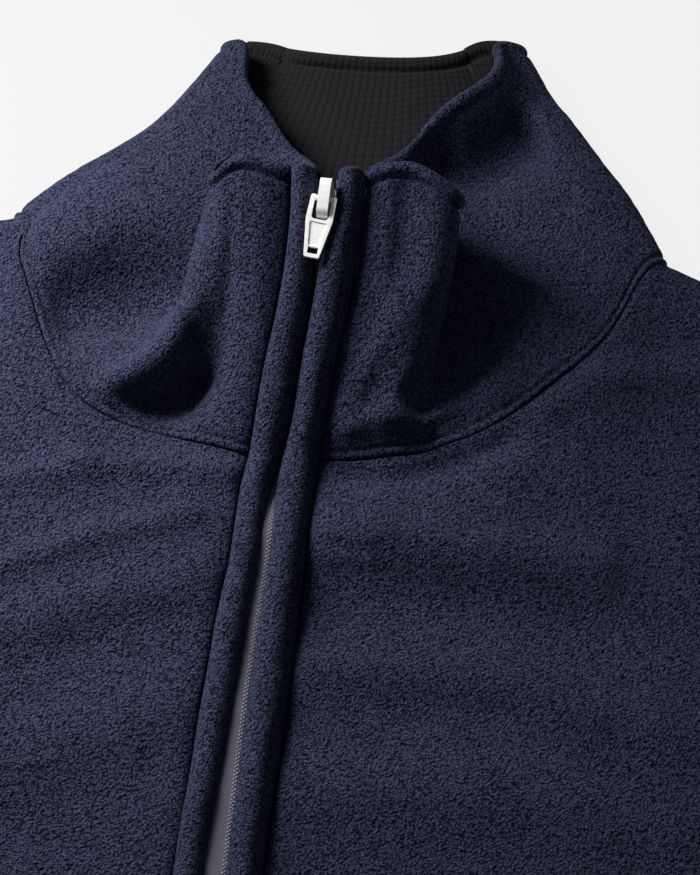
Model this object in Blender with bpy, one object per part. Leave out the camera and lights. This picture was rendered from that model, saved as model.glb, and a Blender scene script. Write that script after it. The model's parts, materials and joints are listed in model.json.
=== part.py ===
"""Half-zip track top of fleece, laid flat on its back with its collar standing half open.

Sizes are in millimetres in the tables and are turned into metres when a mesh is made. The
layout frame has x across the body, y up the body toward the collar and z up from the table,
with x = 0 on the zip at the neck seam and y = 0 level with the shoulder points of the neck.
"""
import math

import bmesh
import bpy
import numpy as np
from mathutils import Matrix

# Driving sizes of the garment.
FLEECE = 2.2             # thickness of the fleece
LINING = 1.5             # thickness of the collar lining
SEAM_GAP = 0.3           # air between neighbouring pieces
BODY_CENTRE = 2.0        # x of the middle of the body
CHEST_HALF = 280.0       # half of the body width under the arms
HEM_HALF = 262.0         # half of the body width at the hem
HEM_Y = -690.0           # hem line
SHOULDER_TIP = (243.0, -46.0)   # end of the shoulder seam, from the middle of the body
UNDERARM_Y = -272.0      # level of the underarm
ARMHOLE_HOLLOW = 26.0    # how far the armhole curves in
ZIP_END_Y = -338.0       # lower end of the zip opening
BODY_HEIGHT = 5.6        # top of the front panel above the table
EDGE_HEIGHT = 2.8        # where front and back meet on the rounded edge
EDGE_GAP = 0.45          # air between them there
EDGE_RADIUS = 4.0        # plan radius of that rounded edge
FRONT_SLOPE = 60.0       # reach of the slope that carries the front up to the neck seam
BACK_SLOPE = 14.0        # and of the short ones at the two ends of the shoulder seams
SLEEVE_LENGTH = 620.0    # shoulder tip to cuff
SLEEVE_ANGLE = 40.0      # degrees that the sleeve turns out from straight down
CUFF_WIDTH = 100.0
COLLAR_REACH_Y = 88.0    # highest point of the collar in the layout

# The zip and the rolled fleece strips beside it.
WELT_PROUD = 4.6         # how far a strip stands above the cloth beside it
WELT_GAP = 0.4           # between a strip and the cloth edge that it covers
TAPE_THICKNESS = 0.8
TAPE_UNDER = 2.2         # how far the zip tape reaches under the cloth
TAPE_DROP = 2.7          # top of the tape below the outer face of the cloth
CHAIN_WIDTH = 4.6
CHAIN_DEPTH = 4.5        # underside of the closed teeth below the outer face of the cloth

# The slider, measured along the zip (s), across it (x) and off the cloth (z).
SLIDER_LEVEL = 0.865     # level of the pull's axle up the collar
AXLE_HEIGHT = 5.7
AXLE_RADIUS = 0.85
AXLE_HOLE_RADIUS = 1.2
BRIDGE_WIDTH = 3.4
BRIDGE_TOP = 7.7
BRIDGE_ENDS = (-6.8, 5.7)       # its upper and lower end, measured down the zip from the axle
BRIDGE_ROUNDING = (3.2, 2.6)    # radius of its upper and of its lower end
PLATE_WIDTHS = (4.8, 3.6)       # of the slider's upper plate, at its top and at its lower end
PLATE_THICKNESSES = (1.25, 1.4) # of the upper and of the lower plate
PLATE_CORNER = 1.2
LOWER_PLATE_WIDTH = 8.2
POST_WIDTH = 2.2                # the post that joins the plates
PULL_LENGTH = 18.6
PULL_THICKNESS = 1.4
PULL_WIDTHS = (7.9, 8.2, 4.8)   # at the ears, at the window's end and at the free end
EAR_TOP = 0.9                   # top of the ears past the axle
PULL_WINDOW = (5.4, 6.7)        # width and far end of the window that clears the bridge
WINDOW_CORNER = 1.3
PULL_EYE = (3.1, 2.0, 1.2)      # width and length of the cord hole, and the bar below it
PULL_RECESS = (5.4, 3.5, 0.3)   # widths of the sunk face at its top and its low end, and its depth
PULL_RIM = 0.9                  # rim between the window and the sunk face, and beside the hole
PULL_SKEW = -5.0                # degrees that the hanging pull turns from the slider

ORIGIN = np.array([BODY_CENTRE, (HEM_Y + COLLAR_REACH_Y) / 2, 0.0])
MM = 0.001

# Levels on the collar, from the neck seam (0) to its top edge (1), at which the tables give points.
LEVELS = np.array([0.0, 0.30, 0.65, 1.0])

# The collar, from each zip edge to the side fold: one row for each fold line or panel middle, with
# the point of its outer face at the seam, low on the collar, high on it and at its top edge.
LEFT_COLLAR = {
    "zip":    ((-8.3, -87.0, 11.5), (-6.8, -61.0, 21.0), (-4.3, -31.0, 33.0), (-6.3, -3.0, 44.0)),
    "panel":  ((-20.0, -84.8, 11.5), (-16.5, -62.0, 19.0), (-14.5, -31.0, 34.0), (-15.5, -1.5, 45.0)),
    "valley": ((-42.0, -80.5, 10.5), (-27.5, -66.0, 10.5), (-23.0, -33.0, 33.0), (-23.5, -1.5, 45.0)),
    "ridge":  ((-57.0, -76.0, 12.0), (-36.5, -57.5, 20.0), (-31.0, -34.0, 32.0), (-30.5, -4.5, 41.5)),
    "under":  ((-64.0, -70.5, 12.0), (-44.0, -52.0, 17.5), (-35.0, -28.5, 26.0), (-30.5, -1.5, 35.0)),
    "return": ((-70.0, -63.0, 12.0), (-50.0, -45.0, 15.5), (-29.5, -20.0, 20.5), (-16.0, 6.0, 29.0)),
    "tuck":   ((-75.0, -54.0, 12.0), (-54.0, -38.0, 15.0), (-24.0, -12.0, 16.5), (-2.0, 13.0, 24.0)),
    "side":   ((-80.0, -43.0, 12.5), (-59.0, -28.0, 15.0), (-33.0, -4.0, 14.0), (-8.0, 23.0, 18.0)),
    "arm":    ((-86.0, -29.0, 12.5), (-66.0, -10.0, 15.5), (-46.0, 16.0, 14.5), (-21.0, 42.0, 16.0)),
    "near":   ((-89.0, -18.0, 12.0), (-72.0, 3.0, 14.0), (-53.0, 26.0, 13.5), (-28.5, 56.0, 13.5)),
}
# The side folds: x, y and height of the rounded edge at the four levels, and how far the upper
# layer lies short of the lower one there.
LEFT_FOLD = ((-94.0, -6.0, 11.0, 0.0), (-77.5, 14.0, 12.0, 0.0), (-56.0, 36.0, 12.0, 0.0), (-37.5, 73.5, 11.5, 3.0))

RIGHT_COLLAR = {
    "zip":    ((12.5, -86.0, 11.5), (14.0, -63.0, 21.0), (17.0, -33.0, 33.0), (16.6, -1.8, 44.4)),
    "panel":  ((20.0, -85.5, 11.5), (20.7, -64.0, 20.0), (23.0, -34.0, 33.5), (24.0, 0.2, 46.2)),
    "valley": ((27.0, -84.0, 11.5), (27.0, -64.0, 20.5), (31.5, -35.0, 33.5), (32.0, 0.5, 46.5)),
    "ridge":  ((34.0, -82.0, 11.5), (35.0, -66.0, 20.0), (42.5, -36.0, 31.5), (44.5, -4.5, 43.0)),
    "under":  ((42.0, -79.5, 11.0), (42.0, -62.0, 15.0), (45.0, -31.0, 25.0), (45.5, -2.0, 36.0)),
    "return": ((49.0, -76.0, 11.5), (44.0, -52.0, 13.0), (38.0, -22.0, 20.0), (32.0, 7.0, 29.0)),
    "tuck":   ((56.0, -72.0, 11.5), (46.0, -42.0, 11.0), (34.0, -12.0, 16.5), (17.0, 14.0, 24.0)),
    "side":   ((66.0, -64.5, 12.0), (58.0, -32.0, 13.0), (42.0, 0.0, 13.5), (22.0, 24.0, 19.0)),
    "arm":    ((82.0, -47.0, 12.0), (74.0, -12.0, 13.5), (58.0, 19.0, 11.0), (36.0, 46.0, 19.0)),
    "near":   ((97.0, -24.0, 12.0), (87.0, 4.0, 13.0), (72.0, 34.0, 12.0), (50.0, 68.0, 15.0)),
}
RIGHT_FOLD = ((110.5, 0.5, 11.0, 0.0), (98.0, 23.0, 12.0, 0.0), (79.0, 49.0, 12.0, 0.0), (57.0, 83.5, 11.5, 3.0))
# From a side fold into the collar at each level, mirrored on the right.
FOLD_INWARD = ((0.80, -0.60), (0.80, -0.60), (0.85, -0.50), (1.0, 0.0))
BACK_COLLAR = {
    "left":   ((-44.0, -13.0, 0.0), (-34.0, 17.0, 0.0), (-22.0, 47.0, 0.3), (-14.0, 75.0, 0.8)),
    "middle": ((9.0, -14.0, 0.0), (9.0, 15.0, 0.0), (10.0, 46.0, 0.3), (10.0, 75.5, 1.0)),
    "right":  ((62.0, -9.5, 0.0), (55.0, 20.0, 0.0), (45.0, 52.0, 0.3), (35.0, 80.0, 0.8)),
}

# Across the zip: the edges of the two rolled strips at stations down the body and up the collar.
# The outer edges are also the edges of the cloth beside them.
BODY_ZIP = {
    # y:     left out, left in, right in, right out
    -338.0: (-10.0, 0.6, 2.2, 13.2),
    -222.0: (-10.4, -1.0, 4.0, 14.2),
    -166.0: (-10.4, 0.0, 2.4, 14.0),
    -146.0: (-10.2, 0.3, 2.3, 13.7),
    -126.0: (-8.8, 0.9, 2.6, 13.4),
    -100.0: (-9.0, 0.4, 1.8, 12.7),
    -86.0:  (-8.3, 1.5, 1.9, 12.5),
}
COLLAR_ZIP = {
    # level: left in, right in
    0.0: (1.5, 1.9),
    0.20: (3.4, 3.8),
    0.40: (4.3, 4.7),
    0.58: (5.4, 5.8),
    0.70: (4.2, 6.8),
    0.80: (2.6, 8.2),
    0.88: (2.2, 9.0),
    1.0: (1.4, 8.0),
}

# Soft rises of the front: start, end, half width, height. The first one lies along the zip, which
# is thicker than the cloth; the others are low folds.
BODY_FOLDS = [
    ((1.0, -84.0), (1.0, -346.0), 30.0, 2.1),
    ((-100.0, -150.0), (-30.0, -118.0), 16.0, 1.8),
    ((-95.0, -215.0), (-35.0, -170.0), 18.0, 1.6),
    ((30.0, -104.0), (120.0, -128.0), 14.0, 1.6),
    ((40.0, -190.0), (150.0, -165.0), 20.0, 1.8),
    ((-210.0, -170.0), (-130.0, -260.0), 24.0, 2.4),
    ((205.0, -160.0), (120.0, -265.0), 24.0, 2.4),
    ((-235.0, -330.0), (-120.0, -400.0), 26.0, 2.6),
    ((240.0, -345.0), (130.0, -420.0), 26.0, 2.6),
    ((-200.0, -520.0), (-60.0, -560.0), 28.0, 2.2),
    ((70.0, -500.0), (215.0, -545.0), 28.0, 2.2),
    ((-20.0, -390.0), (25.0, -470.0), 24.0, 1.8),
]


def spline(knots, values, where):
    """Natural cubic curve through values at the knots, read at the places in where."""
    knots = np.asarray(knots, float)
    values = np.asarray(values, float)
    count = len(knots)
    step = np.diff(knots)
    system = np.zeros((count, count))
    right = np.zeros(values.shape)
    system[0, 0] = system[-1, -1] = 1.0
    for k in range(1, count - 1):
        system[k, k - 1:k + 2] = step[k - 1], 2 * (step[k - 1] + step[k]), step[k]
        right[k] = 6 * ((values[k + 1] - values[k]) / step[k] - (values[k] - values[k - 1]) / step[k - 1])
    bend = np.linalg.solve(system, right.reshape(count, -1)).reshape(values.shape)
    where = np.atleast_1d(np.asarray(where, float))
    k = np.clip(np.searchsorted(knots, where) - 1, 0, count - 2)
    wide = (-1,) + (1,) * (values.ndim - 1)
    h = step[k].reshape(wide)
    a = (knots[k + 1] - where).reshape(wide)
    b = (where - knots[k]).reshape(wide)
    return (bend[k] * a ** 3 / (6 * h) + bend[k + 1] * b ** 3 / (6 * h)
            + (values[k] / h - bend[k] * h / 6) * a + (values[k + 1] / h - bend[k + 1] * h / 6) * b)


def fold_rows(fold, side):
    """Rows that carry the cloth round a side fold, from the one over it to the one under it."""
    rows = []
    for turn in (90.0, 45.0, 0.0, -45.0, -90.0):
        lift, back = math.sin(math.radians(turn)), 1 - math.cos(math.radians(turn))
        rows.append([(x - side * dx * back * height / 2, y + dy * back * height / 2 - lean * lift,
                      height / 2 * (1 + lift)) for (x, y, height, lean), (dx, dy) in zip(fold, FOLD_INWARD)])
    return rows


def collar_rows():
    """All rows of the collar, from the left zip edge round the back to the right zip edge."""
    left = fold_rows(LEFT_FOLD, -1)
    right = fold_rows(RIGHT_FOLD, 1)
    rows = list(LEFT_COLLAR.values()) + left + list(BACK_COLLAR.values())
    return np.array(rows + right[::-1] + list(RIGHT_COLLAR.values())[::-1], float)


def row_places(rows):
    """Place of each row along the collar: the mean of the distances at the four levels."""
    steps = np.linalg.norm(np.diff(rows, axis=0), axis=2).mean(axis=1)
    return np.concatenate([[0.0], np.cumsum(steps)])


def collar_grid(along, up):
    """Points of the collar's outer face at places along it and levels up it."""
    rows = collar_rows()
    fine = spline(row_places(rows), rows, along)
    points = spline(LEVELS, fine.transpose(1, 0, 2), up).transpose(1, 0, 2)
    points[..., 2] = np.maximum(points[..., 2], 0.0)
    return points


def seam_away(places):
    """Unit directions in plan, square to the neck seam, that lead from the collar to the body."""
    places = np.asarray(places, float)
    near = collar_grid(places, [0.0, 0.02])
    away = (near[:, 0] - near[:, 1])[:, :2]
    away /= np.linalg.norm(away, axis=1, keepdims=True)
    run = (collar_grid(places + 0.5, [0.0]) - collar_grid(places - 0.5, [0.0]))[:, 0]
    flat_share = np.linalg.norm(run[:, :2], axis=1) / np.linalg.norm(run, axis=1)
    square = np.stack([run[:, 1], -run[:, 0]], axis=1)
    square *= np.sign((square * away).sum(axis=1, keepdims=True))
    square /= np.linalg.norm(square, axis=1, keepdims=True) + 1e-9
    share = np.clip((flat_share - 0.3) / 0.5, 0, 1)[:, None]
    away = away * (1 - share) + square * share
    return away / np.linalg.norm(away, axis=1, keepdims=True)


def collar_outward(places, up):
    """Unit normals of the collar's outer face, turned upright along the neck seam."""
    places, up = np.asarray(places, float), np.asarray(up, float)
    du = collar_grid(places + 0.3, up) - collar_grid(places - 0.3, up)
    dv = collar_grid(places, up + 0.004) - collar_grid(places, up - 0.004)
    out = np.cross(dv, du)
    out /= np.linalg.norm(out, axis=2, keepdims=True)
    level = np.concatenate([seam_away(places), np.zeros((len(places), 1))], axis=1)
    seam = out[:, 0] - level * (out[:, 0] * level).sum(axis=1, keepdims=True)
    out[:, 0] = seam / np.linalg.norm(seam, axis=1, keepdims=True)
    return out


# Meshes and materials


def closed_wall(name, outer, inner, material, keep=None, wrap=False):
    """One closed solid from two matching grids of points, its open borders walled up."""
    rows, columns = outer.shape[:2]
    cells_u = rows if wrap else rows - 1
    if keep is None:
        keep = np.ones((cells_u, columns - 1), bool)
    corner = [(0, 0), (1, 0), (1, 1), (0, 1)]
    used, verts, faces = {}, [], []

    def vertex(side, i, j):
        key = (side, i % rows, j)
        if key not in used:
            used[key] = len(verts)
            verts.append(((outer, inner)[side][i % rows, j] - ORIGIN) * MM)
        return used[key]

    for i in range(cells_u):
        for j in range(columns - 1):
            if not keep[i, j]:
                continue
            top = [vertex(0, i + a, j + b) for a, b in corner]
            low = [vertex(1, i + a, j + b) for a, b in corner]
            faces += [(top[0], top[2], top[1]), (top[0], top[3], top[2])]
            faces += [(low[0], low[1], low[2]), (low[0], low[2], low[3])]
            beside = [(i, j - 1), (i + 1, j), (i, j + 1), (i - 1, j)]
            for k, (a, b) in enumerate(beside):
                a = a % rows if wrap else a
                if 0 <= a < cells_u and 0 <= b < columns - 1 and keep[a, b]:
                    continue
                p, q = k, (k + 1) % 4
                faces += [(top[p], top[q], low[q]), (top[p], low[q], low[p])]
    return add_object(name, verts, faces, material)


def add_object(name, verts, faces, material):
    """A named mesh object whose faces all point out."""
    mesh = bpy.data.meshes.new(name)
    mesh.from_pydata([tuple(v) for v in verts], [], faces)
    shape = bmesh.new()
    shape.from_mesh(mesh)
    bmesh.ops.recalc_face_normals(shape, faces=shape.faces)
    shape.to_mesh(mesh)
    shape.free()
    mesh.shade_smooth()
    mesh.set_sharp_from_angle(angle=math.radians(50))
    mesh.materials.append(material)
    item = bpy.data.objects.new(name, mesh)
    bpy.context.scene.collection.objects.link(item)
    return item


def finish(name, colour, roughness, metallic=0.0):
    """A Principled material of the piece's colour, roughness and metal."""
    material = bpy.data.materials.new(name)
    material.use_nodes = True
    shader = material.node_tree.nodes["Principled BSDF"]
    shader.inputs["Base Color"].default_value = (*colour, 1.0)
    shader.inputs["Roughness"].default_value = roughness
    shader.inputs["Metallic"].default_value = metallic
    return material


# The body: front, back and sleeves, which share their edges' points so that seams stay even.

def edge_distance(x, y, edges):
    """Distance in plan from points to the nearest of some straight edges."""
    nearest = np.full(x.shape, np.inf)
    for start, end in edges:
        start, end = np.array(start), np.array(end)
        run = end - start
        along = np.clip(((x - start[0]) * run[0] + (y - start[1]) * run[1]) / (run @ run), 0, 1)
        nearest = np.minimum(nearest, np.hypot(x - start[0] - along * run[0], y - start[1] - along * run[1]))
    return nearest


def rounding(distance):
    """Height share of a rounded edge at a distance from it: 0 on the edge, 1 past its radius."""
    return np.sqrt(1 - (1 - np.clip(distance / EDGE_RADIUS, 0, 1)) ** 2)


def fold_height(x, y):
    """Height that the soft folds add to a cloth that lies on top."""
    height = np.zeros_like(x)
    for start, end, half_width, tall in BODY_FOLDS:
        height += tall * np.exp(-(edge_distance(x, y, [(start, end)]) / half_width) ** 2)
    return height


def top_height(x, y, distance):
    """Height of the outer face of the cloth that lies on top, at a distance from a rounded edge."""
    return EDGE_HEIGHT + (BODY_HEIGHT - EDGE_HEIGHT + fold_height(x, y)) * rounding(distance)


def body_corners(side):
    """Corners of one half of the body: neck, shoulder tip, underarm and hem."""
    notch = NECK_ENDS[side]
    tip = (BODY_CENTRE + side * SHOULDER_TIP[0], SHOULDER_TIP[1])
    underarm = (BODY_CENTRE + side * CHEST_HALF, UNDERARM_Y)
    hem = (BODY_CENTRE + side * HEM_HALF, HEM_Y)
    return [np.array(corner) for corner in (notch, tip, underarm, hem)]


def armhole(side, share):
    """Points of the armhole between the shoulder tip (0) and the underarm (1)."""
    tip, underarm = body_corners(side)[1:3]
    share = np.asarray(share, float)[:, None]
    middle = (tip + underarm) / 2 - np.array([side * ARMHOLE_HOLLOW, 0.0])
    return tip * (1 - share) ** 2 + 2 * middle * share * (1 - share) + underarm * share ** 2


# Shares of the way down the body at which its rows lie: close at the shoulder and the underarm.
BODY_LENGTH = SHOULDER_TIP[1] - HEM_Y
UNDERARM_SHARE = (SHOULDER_TIP[1] - UNDERARM_Y) / BODY_LENGTH
NEAR_EDGE = np.array([0.0, 1.8, 5.5]) / BODY_LENGTH
NECK_Y = LEFT_COLLAR["zip"][0][1]
ZIP_SHARE = (ZIP_END_Y - NECK_Y) / (HEM_Y - NECK_Y)
DOWN = np.concatenate([
    NEAR_EDGE, np.array([18.0, 40.0, 72.0, 115.0, 165.0]) / BODY_LENGTH,
    UNDERARM_SHARE - NEAR_EDGE[::-1], [ZIP_SHARE, 0.52, 0.68, 0.84, 1.0]])
ARM_SHARES = DOWN[DOWN < UNDERARM_SHARE + 1e-9] / UNDERARM_SHARE
SHOULDER_SHARES = np.array([0.0, 0.012, 0.04, 0.3, 0.6, 0.82, 0.93])

# Meeting points along the collar: its rows, and points between those that lie far apart. The
# lining starts at the second point and ends at the last but one.
ROW_PLACES = row_places(collar_rows())
LINING_INSET = TAPE_UNDER + 1.6
PLACES = np.concatenate([
    np.linspace(start, end, 1 + max(1, round((end - start) / 8.5)))[:-1]
    for start, end in zip(ROW_PLACES[:-1], ROW_PLACES[1:])])
LAST_PLACE = ROW_PLACES[-1]
PLACES = np.concatenate([[0.0, LINING_INSET],
                         PLACES[(PLACES > LINING_INSET + 2) & (PLACES < LAST_PLACE - LINING_INSET - 2)],
                         [LAST_PLACE - LINING_INSET, LAST_PLACE]])
UP = np.array([0.0, 0.12, 0.25, 0.40, 0.56, 0.72, 0.87, 1.0])
FOLD_EDGE_LEFT = ROW_PLACES[len(LEFT_COLLAR) + 2]
FOLD_EDGE_RIGHT = ROW_PLACES[-len(RIGHT_COLLAR) - 3]


def seam_line(places):
    """Points of the neck seam on the body's side, a seam gap away from the collar in plan."""
    line = collar_grid(places, [0.0])[:, 0].copy()
    line[:, :2] += SEAM_GAP * seam_away(places)
    return line


# Where the shoulder seams end at the neck seam.
NECK_ENDS = {-1: seam_line([FOLD_EDGE_LEFT])[0, :2], 1: seam_line([FOLD_EDGE_RIGHT])[0, :2]}


def patch(top, bottom, left, right):
    """Points that fill four border curves: top and bottom run across, left and right run down."""
    across = np.concatenate([[0], np.cumsum(np.linalg.norm(np.diff(top, axis=0), axis=1))])
    s = (across / across[-1])[:, None, None]
    t = DOWN[None, :, None]
    fill = (1 - t) * top[:, None] + t * (bottom[0] + (bottom[1] - bottom[0]) * s)
    fill += (1 - s) * (left[None] - (1 - t) * left[0] - t * left[-1])
    return fill + s * (right[None] - (1 - t) * right[0] - t * right[-1])


def side_line(side):
    """Outer border of the body from the shoulder tip down the armhole and the side seam."""
    underarm, hem = body_corners(side)[2:]
    below = DOWN[DOWN > UNDERARM_SHARE + 1e-9]
    part = ((below - UNDERARM_SHARE) / (1 - UNDERARM_SHARE))[:, None]
    return np.concatenate([armhole(side, ARM_SHARES), underarm * (1 - part) + hem * part])


def shoulder_line(side, neck_point):
    """Points of the shoulder seam from its tip to just before the neck."""
    share = SHOULDER_SHARES[:, None]
    return body_corners(side)[1] * (1 - share) + neck_point * share


def slit_line(side, start):
    """Edge of the front beside the zip, from the neck seam down to the hem."""
    y = start[1] + DOWN * (HEM_Y - start[1])
    ys = sorted(BODY_ZIP)
    x = np.interp(y, ys, [BODY_ZIP[k][0 if side < 0 else 3] for k in ys])
    x[0] = start[0]
    return np.stack([x, y], axis=1)


def rest_height(plan, lying_on_top):
    """Height of a panel's outer face at points in plan, and how far those lie from its edges."""
    x, y = plan[..., 0], plan[..., 1]
    corners = [body_corners(side) for side in (-1, 1)]
    to_shoulder = edge_distance(x, y, [(c[0], c[1]) for c in corners])
    to_side = edge_distance(x, y, [(c[2], c[3]) for c in corners])
    nearest = np.minimum(to_shoulder, to_side)
    if lying_on_top:
        return top_height(x, y, nearest), to_shoulder, to_side
    return (EDGE_HEIGHT - EDGE_GAP) * (1 - rounding(nearest)), to_shoulder, to_side


def seam_lift(plan, seam_height, first, lying_on_top):
    """Extra height that carries a panel up to the neck seam and fades away from it."""
    last = first + len(seam_height) - 1
    at_neck = seam_height - rest_height(plan[:, 0], lying_on_top)[0][first:last + 1]
    to_neck = [np.linalg.norm(plan[:, 0] - plan[k, 0], axis=1) for k in (first, last)]
    step = at_neck[0] * np.exp(-(to_neck[0] / BACK_SLOPE) ** 2)
    step[last:] = at_neck[-1] * np.exp(-(to_neck[1][last:] / BACK_SLOPE) ** 2)
    step[first:last + 1] = at_neck
    away = np.linalg.norm(plan - plan[:, :1], axis=2)
    reach = FRONT_SLOPE if lying_on_top else BACK_SLOPE
    return step[:, None] * np.exp(-(away / reach) ** 2)


def plump(plan, lift, lying_on_top, inward_sign):
    """Outer and inner faces of a body panel over its points in plan."""
    z, to_shoulder, to_side = rest_height(plan, lying_on_top)
    outer = np.concatenate([plan, (z + lift)[..., None]], axis=2)
    inner = outer.copy()
    into = []
    for side in (-1, 1):
        run = body_corners(side)[1] - body_corners(side)[0]
        into.append(np.array([side * run[1], -side * run[0]]) / np.linalg.norm(run))
    down = np.where(plan[..., :1] < BODY_CENTRE, into[0], into[1])
    thin_top = FLEECE * np.clip(1 - to_shoulder / EDGE_RADIUS, 0, 1)
    thin_side = FLEECE * np.clip(1 - to_side / EDGE_RADIUS, 0, 1)
    inner[..., :2] += down * thin_top[..., None]
    inner[..., 0] += inward_sign * thin_side
    thick = FLEECE * rounding(np.minimum(to_shoulder, to_side))
    inner[..., 2] += -thick if lying_on_top else thick
    return outer, inner


def front_half(side):
    """Outer and inner faces of one half of the front, columns from the side in to the zip."""
    if side < 0:
        places = PLACES[PLACES <= FOLD_EDGE_LEFT + 1e-6][::-1]
    else:
        places = PLACES[PLACES >= FOLD_EDGE_RIGHT - 1e-6]
    seam = seam_line(places)
    top = np.concatenate([shoulder_line(side, seam[0, :2]), seam[:, :2]])
    slit = slit_line(side, seam[-1, :2])
    plan = patch(top, (body_corners(side)[3], slit[-1]), side_line(side), slit)
    return plump(plan, seam_lift(plan, seam[:, 2], len(SHOULDER_SHARES), True), True, -side)


def make_front(material):
    """The front in one piece, slit down the middle for the zip."""
    left, right = front_half(-1), front_half(1)
    outer, inner = (np.concatenate([a, b[::-1]]) for a, b in zip(left, right))
    keep = np.ones((len(outer) - 1, len(DOWN) - 1), bool)
    keep[len(left[0]) - 1, DOWN[1:] <= ZIP_SHARE + 1e-9] = False
    return closed_wall("front", outer, inner, material, keep)


def make_back(material):
    """The back, which lies flat on the table and turns up at its edges to meet the front."""
    places = PLACES[(PLACES >= FOLD_EDGE_LEFT - 1e-6) & (PLACES <= FOLD_EDGE_RIGHT + 1e-6)]
    seam = seam_line(places)
    top = np.concatenate([shoulder_line(-1, seam[0, :2]), seam[:, :2], shoulder_line(1, seam[-1, :2])[::-1]])
    plan = patch(top, (body_corners(-1)[3], body_corners(1)[3]), side_line(-1), side_line(1))
    inward = np.where(plan[..., 0] < BODY_CENTRE, 1.0, -1.0)
    seam_height = np.maximum(seam[:, 2] - EDGE_GAP, 0)
    lift = seam_lift(plan, seam_height, len(SHOULDER_SHARES), False)
    outer, inner = plump(plan, lift, False, inward)
    return closed_wall("back", outer, inner, material)


SLEEVE_SHARES = np.array([0.0, 0.05, 0.14, 0.26, 0.38, 0.48, 0.56, 0.66, 0.80, 0.92, 1.0])


def make_sleeve(side, name, material):
    """A sleeve: a flattened tube, open at the armhole and at the cuff."""
    tip, underarm = body_corners(side)[1:3]
    turn = math.radians(SLEEVE_ANGLE)
    run = np.array([side * math.sin(turn), -math.cos(turn)])
    across = np.array([-side * math.cos(turn), -math.sin(turn)])
    cuff_top = tip + run * SLEEVE_LENGTH
    cuff_low = cuff_top + across * CUFF_WIDTH
    start = armhole(side, ARM_SHARES) + np.array([side * SEAM_GAP, 0.0])
    end = cuff_top + (cuff_low - cuff_top) * ARM_SHARES[:, None]
    share = SLEEVE_SHARES[:, None, None]
    plan = start[None] * (1 - share) + end[None] * share
    x, y = plan[..., 0], plan[..., 1]
    distance = edge_distance(x, y, [(start[0], cuff_top), (start[-1], cuff_low)])
    to_upper = edge_distance(x, y, [(start[0], cuff_top)])
    thin = FLEECE * np.clip(1 - distance / EDGE_RADIUS, 0, 1) * np.where(to_upper <= distance + 1e-9, 1, -1)
    along_ring = np.gradient(plan, axis=1)
    along_ring /= np.linalg.norm(along_ring, axis=2, keepdims=True)
    inner_plan = plan + along_ring * thin[..., None]
    top_z = top_height(x, y, distance)
    low_z = EDGE_HEIGHT * (1 - rounding(distance))
    thick = FLEECE * rounding(distance)

    def ring(points, upper, lower):
        over = np.concatenate([points, upper[..., None]], axis=2)
        below = np.concatenate([points, lower[..., None]], axis=2)[:, -2:0:-1]
        return np.concatenate([over, below], axis=1).transpose(1, 0, 2)

    outer = ring(plan, top_z, low_z)
    inner = ring(inner_plan, top_z - thick, low_z + thick)
    return closed_wall(name, outer, inner, material, wrap=True)


# The collar and the zip, which follow the collar's face.

def make_collar(shell_material, lining_material):
    """The collar's fleece shell, and the thin knit lining inside it."""
    grid, out = collar_grid(PLACES, UP), collar_outward(PLACES, UP)
    closed_wall("collar", grid, grid - out * FLEECE, shell_material)
    grid, out = grid[1:-1], out[1:-1]
    gap = FLEECE + SEAM_GAP
    closed_wall("collar_lining", grid - out * gap, grid - out * (gap + LINING), lining_material)


def zip_edge(side):
    """Cloth edge beside the zip, from its lower end to the collar's top, and points under the cloth."""
    front = front_half(side)[0]
    open_rows = DOWN <= ZIP_SHARE + 1e-9
    ends = collar_grid(PLACES[:2] if side < 0 else PLACES[:-3:-1], UP)
    lines = []
    for on_body, on_collar in ((front[-1], ends[0]), (front[-2], ends[1])):
        line = np.concatenate([on_body[open_rows][::-1], on_collar[1:]])
        start = line[0] + (line[1] - line[0]) * (3.0 / np.linalg.norm(line[1] - line[0]))
        line[0] += (line[1] - line[0]) * (2 * SEAM_GAP / np.linalg.norm(line[1] - line[0]))
        lines.append(np.insert(line, 1, start, axis=0))
    edge, inside = lines
    reach = inside - edge
    return edge, edge + reach * (TAPE_UNDER / np.linalg.norm(reach, axis=1, keepdims=True))


def zip_frame():
    """Along the zip: left and right cloth edges, and the directions across it and off the cloth."""
    left, right = zip_edge(-1)[0], zip_edge(1)[0]
    across = right - left
    across /= np.linalg.norm(across, axis=1, keepdims=True)
    off = np.cross(across, np.gradient((left + right) / 2, axis=0))
    off /= np.linalg.norm(off, axis=1, keepdims=True)
    return left, right, across, off


def inner_edges(left):
    """Distance from the left cloth edge to the facing inner edges of the two rolled strips."""
    body = sorted(BODY_ZIP)
    on_body = left[:len(left) - len(UP) + 1, 1]
    levels = list(COLLAR_ZIP)
    result = []
    for column, inner in ((1, 0), (2, 1)):
        below = np.interp(on_body, body, [BODY_ZIP[k][column] for k in body])
        above = np.interp(UP[1:], levels, [COLLAR_ZIP[k][inner] for k in levels])
        result.append(np.concatenate([below, above]) - left[:, 0])
    return result


# Half of a rolled strip's section: share of its width, and height above its underside.
WELT_SECTION = ((0.0, 0.0), (0.0, 0.55), (0.14, 0.86), (0.38, 1.0), (0.64, 1.0), (0.88, 0.84),
                (1.0, 0.52), (1.0, 0.0))


def sweep(name, sections, material):
    """A closed solid through matching closed sections, capped at both ends."""
    verts = [(point - ORIGIN) * MM for ring in sections for point in ring]
    size = len(sections[0])
    faces = []
    for k in range(len(sections) - 1):
        for m in range(size):
            a, b = k * size + m, k * size + (m + 1) % size
            faces += [(a, b, b + size), (a, b + size, a + size)]
    last = (len(sections) - 1) * size
    faces += [tuple(range(size))[::-1], tuple(range(last, last + size))]
    return add_object(name, verts, faces, material)


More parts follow.
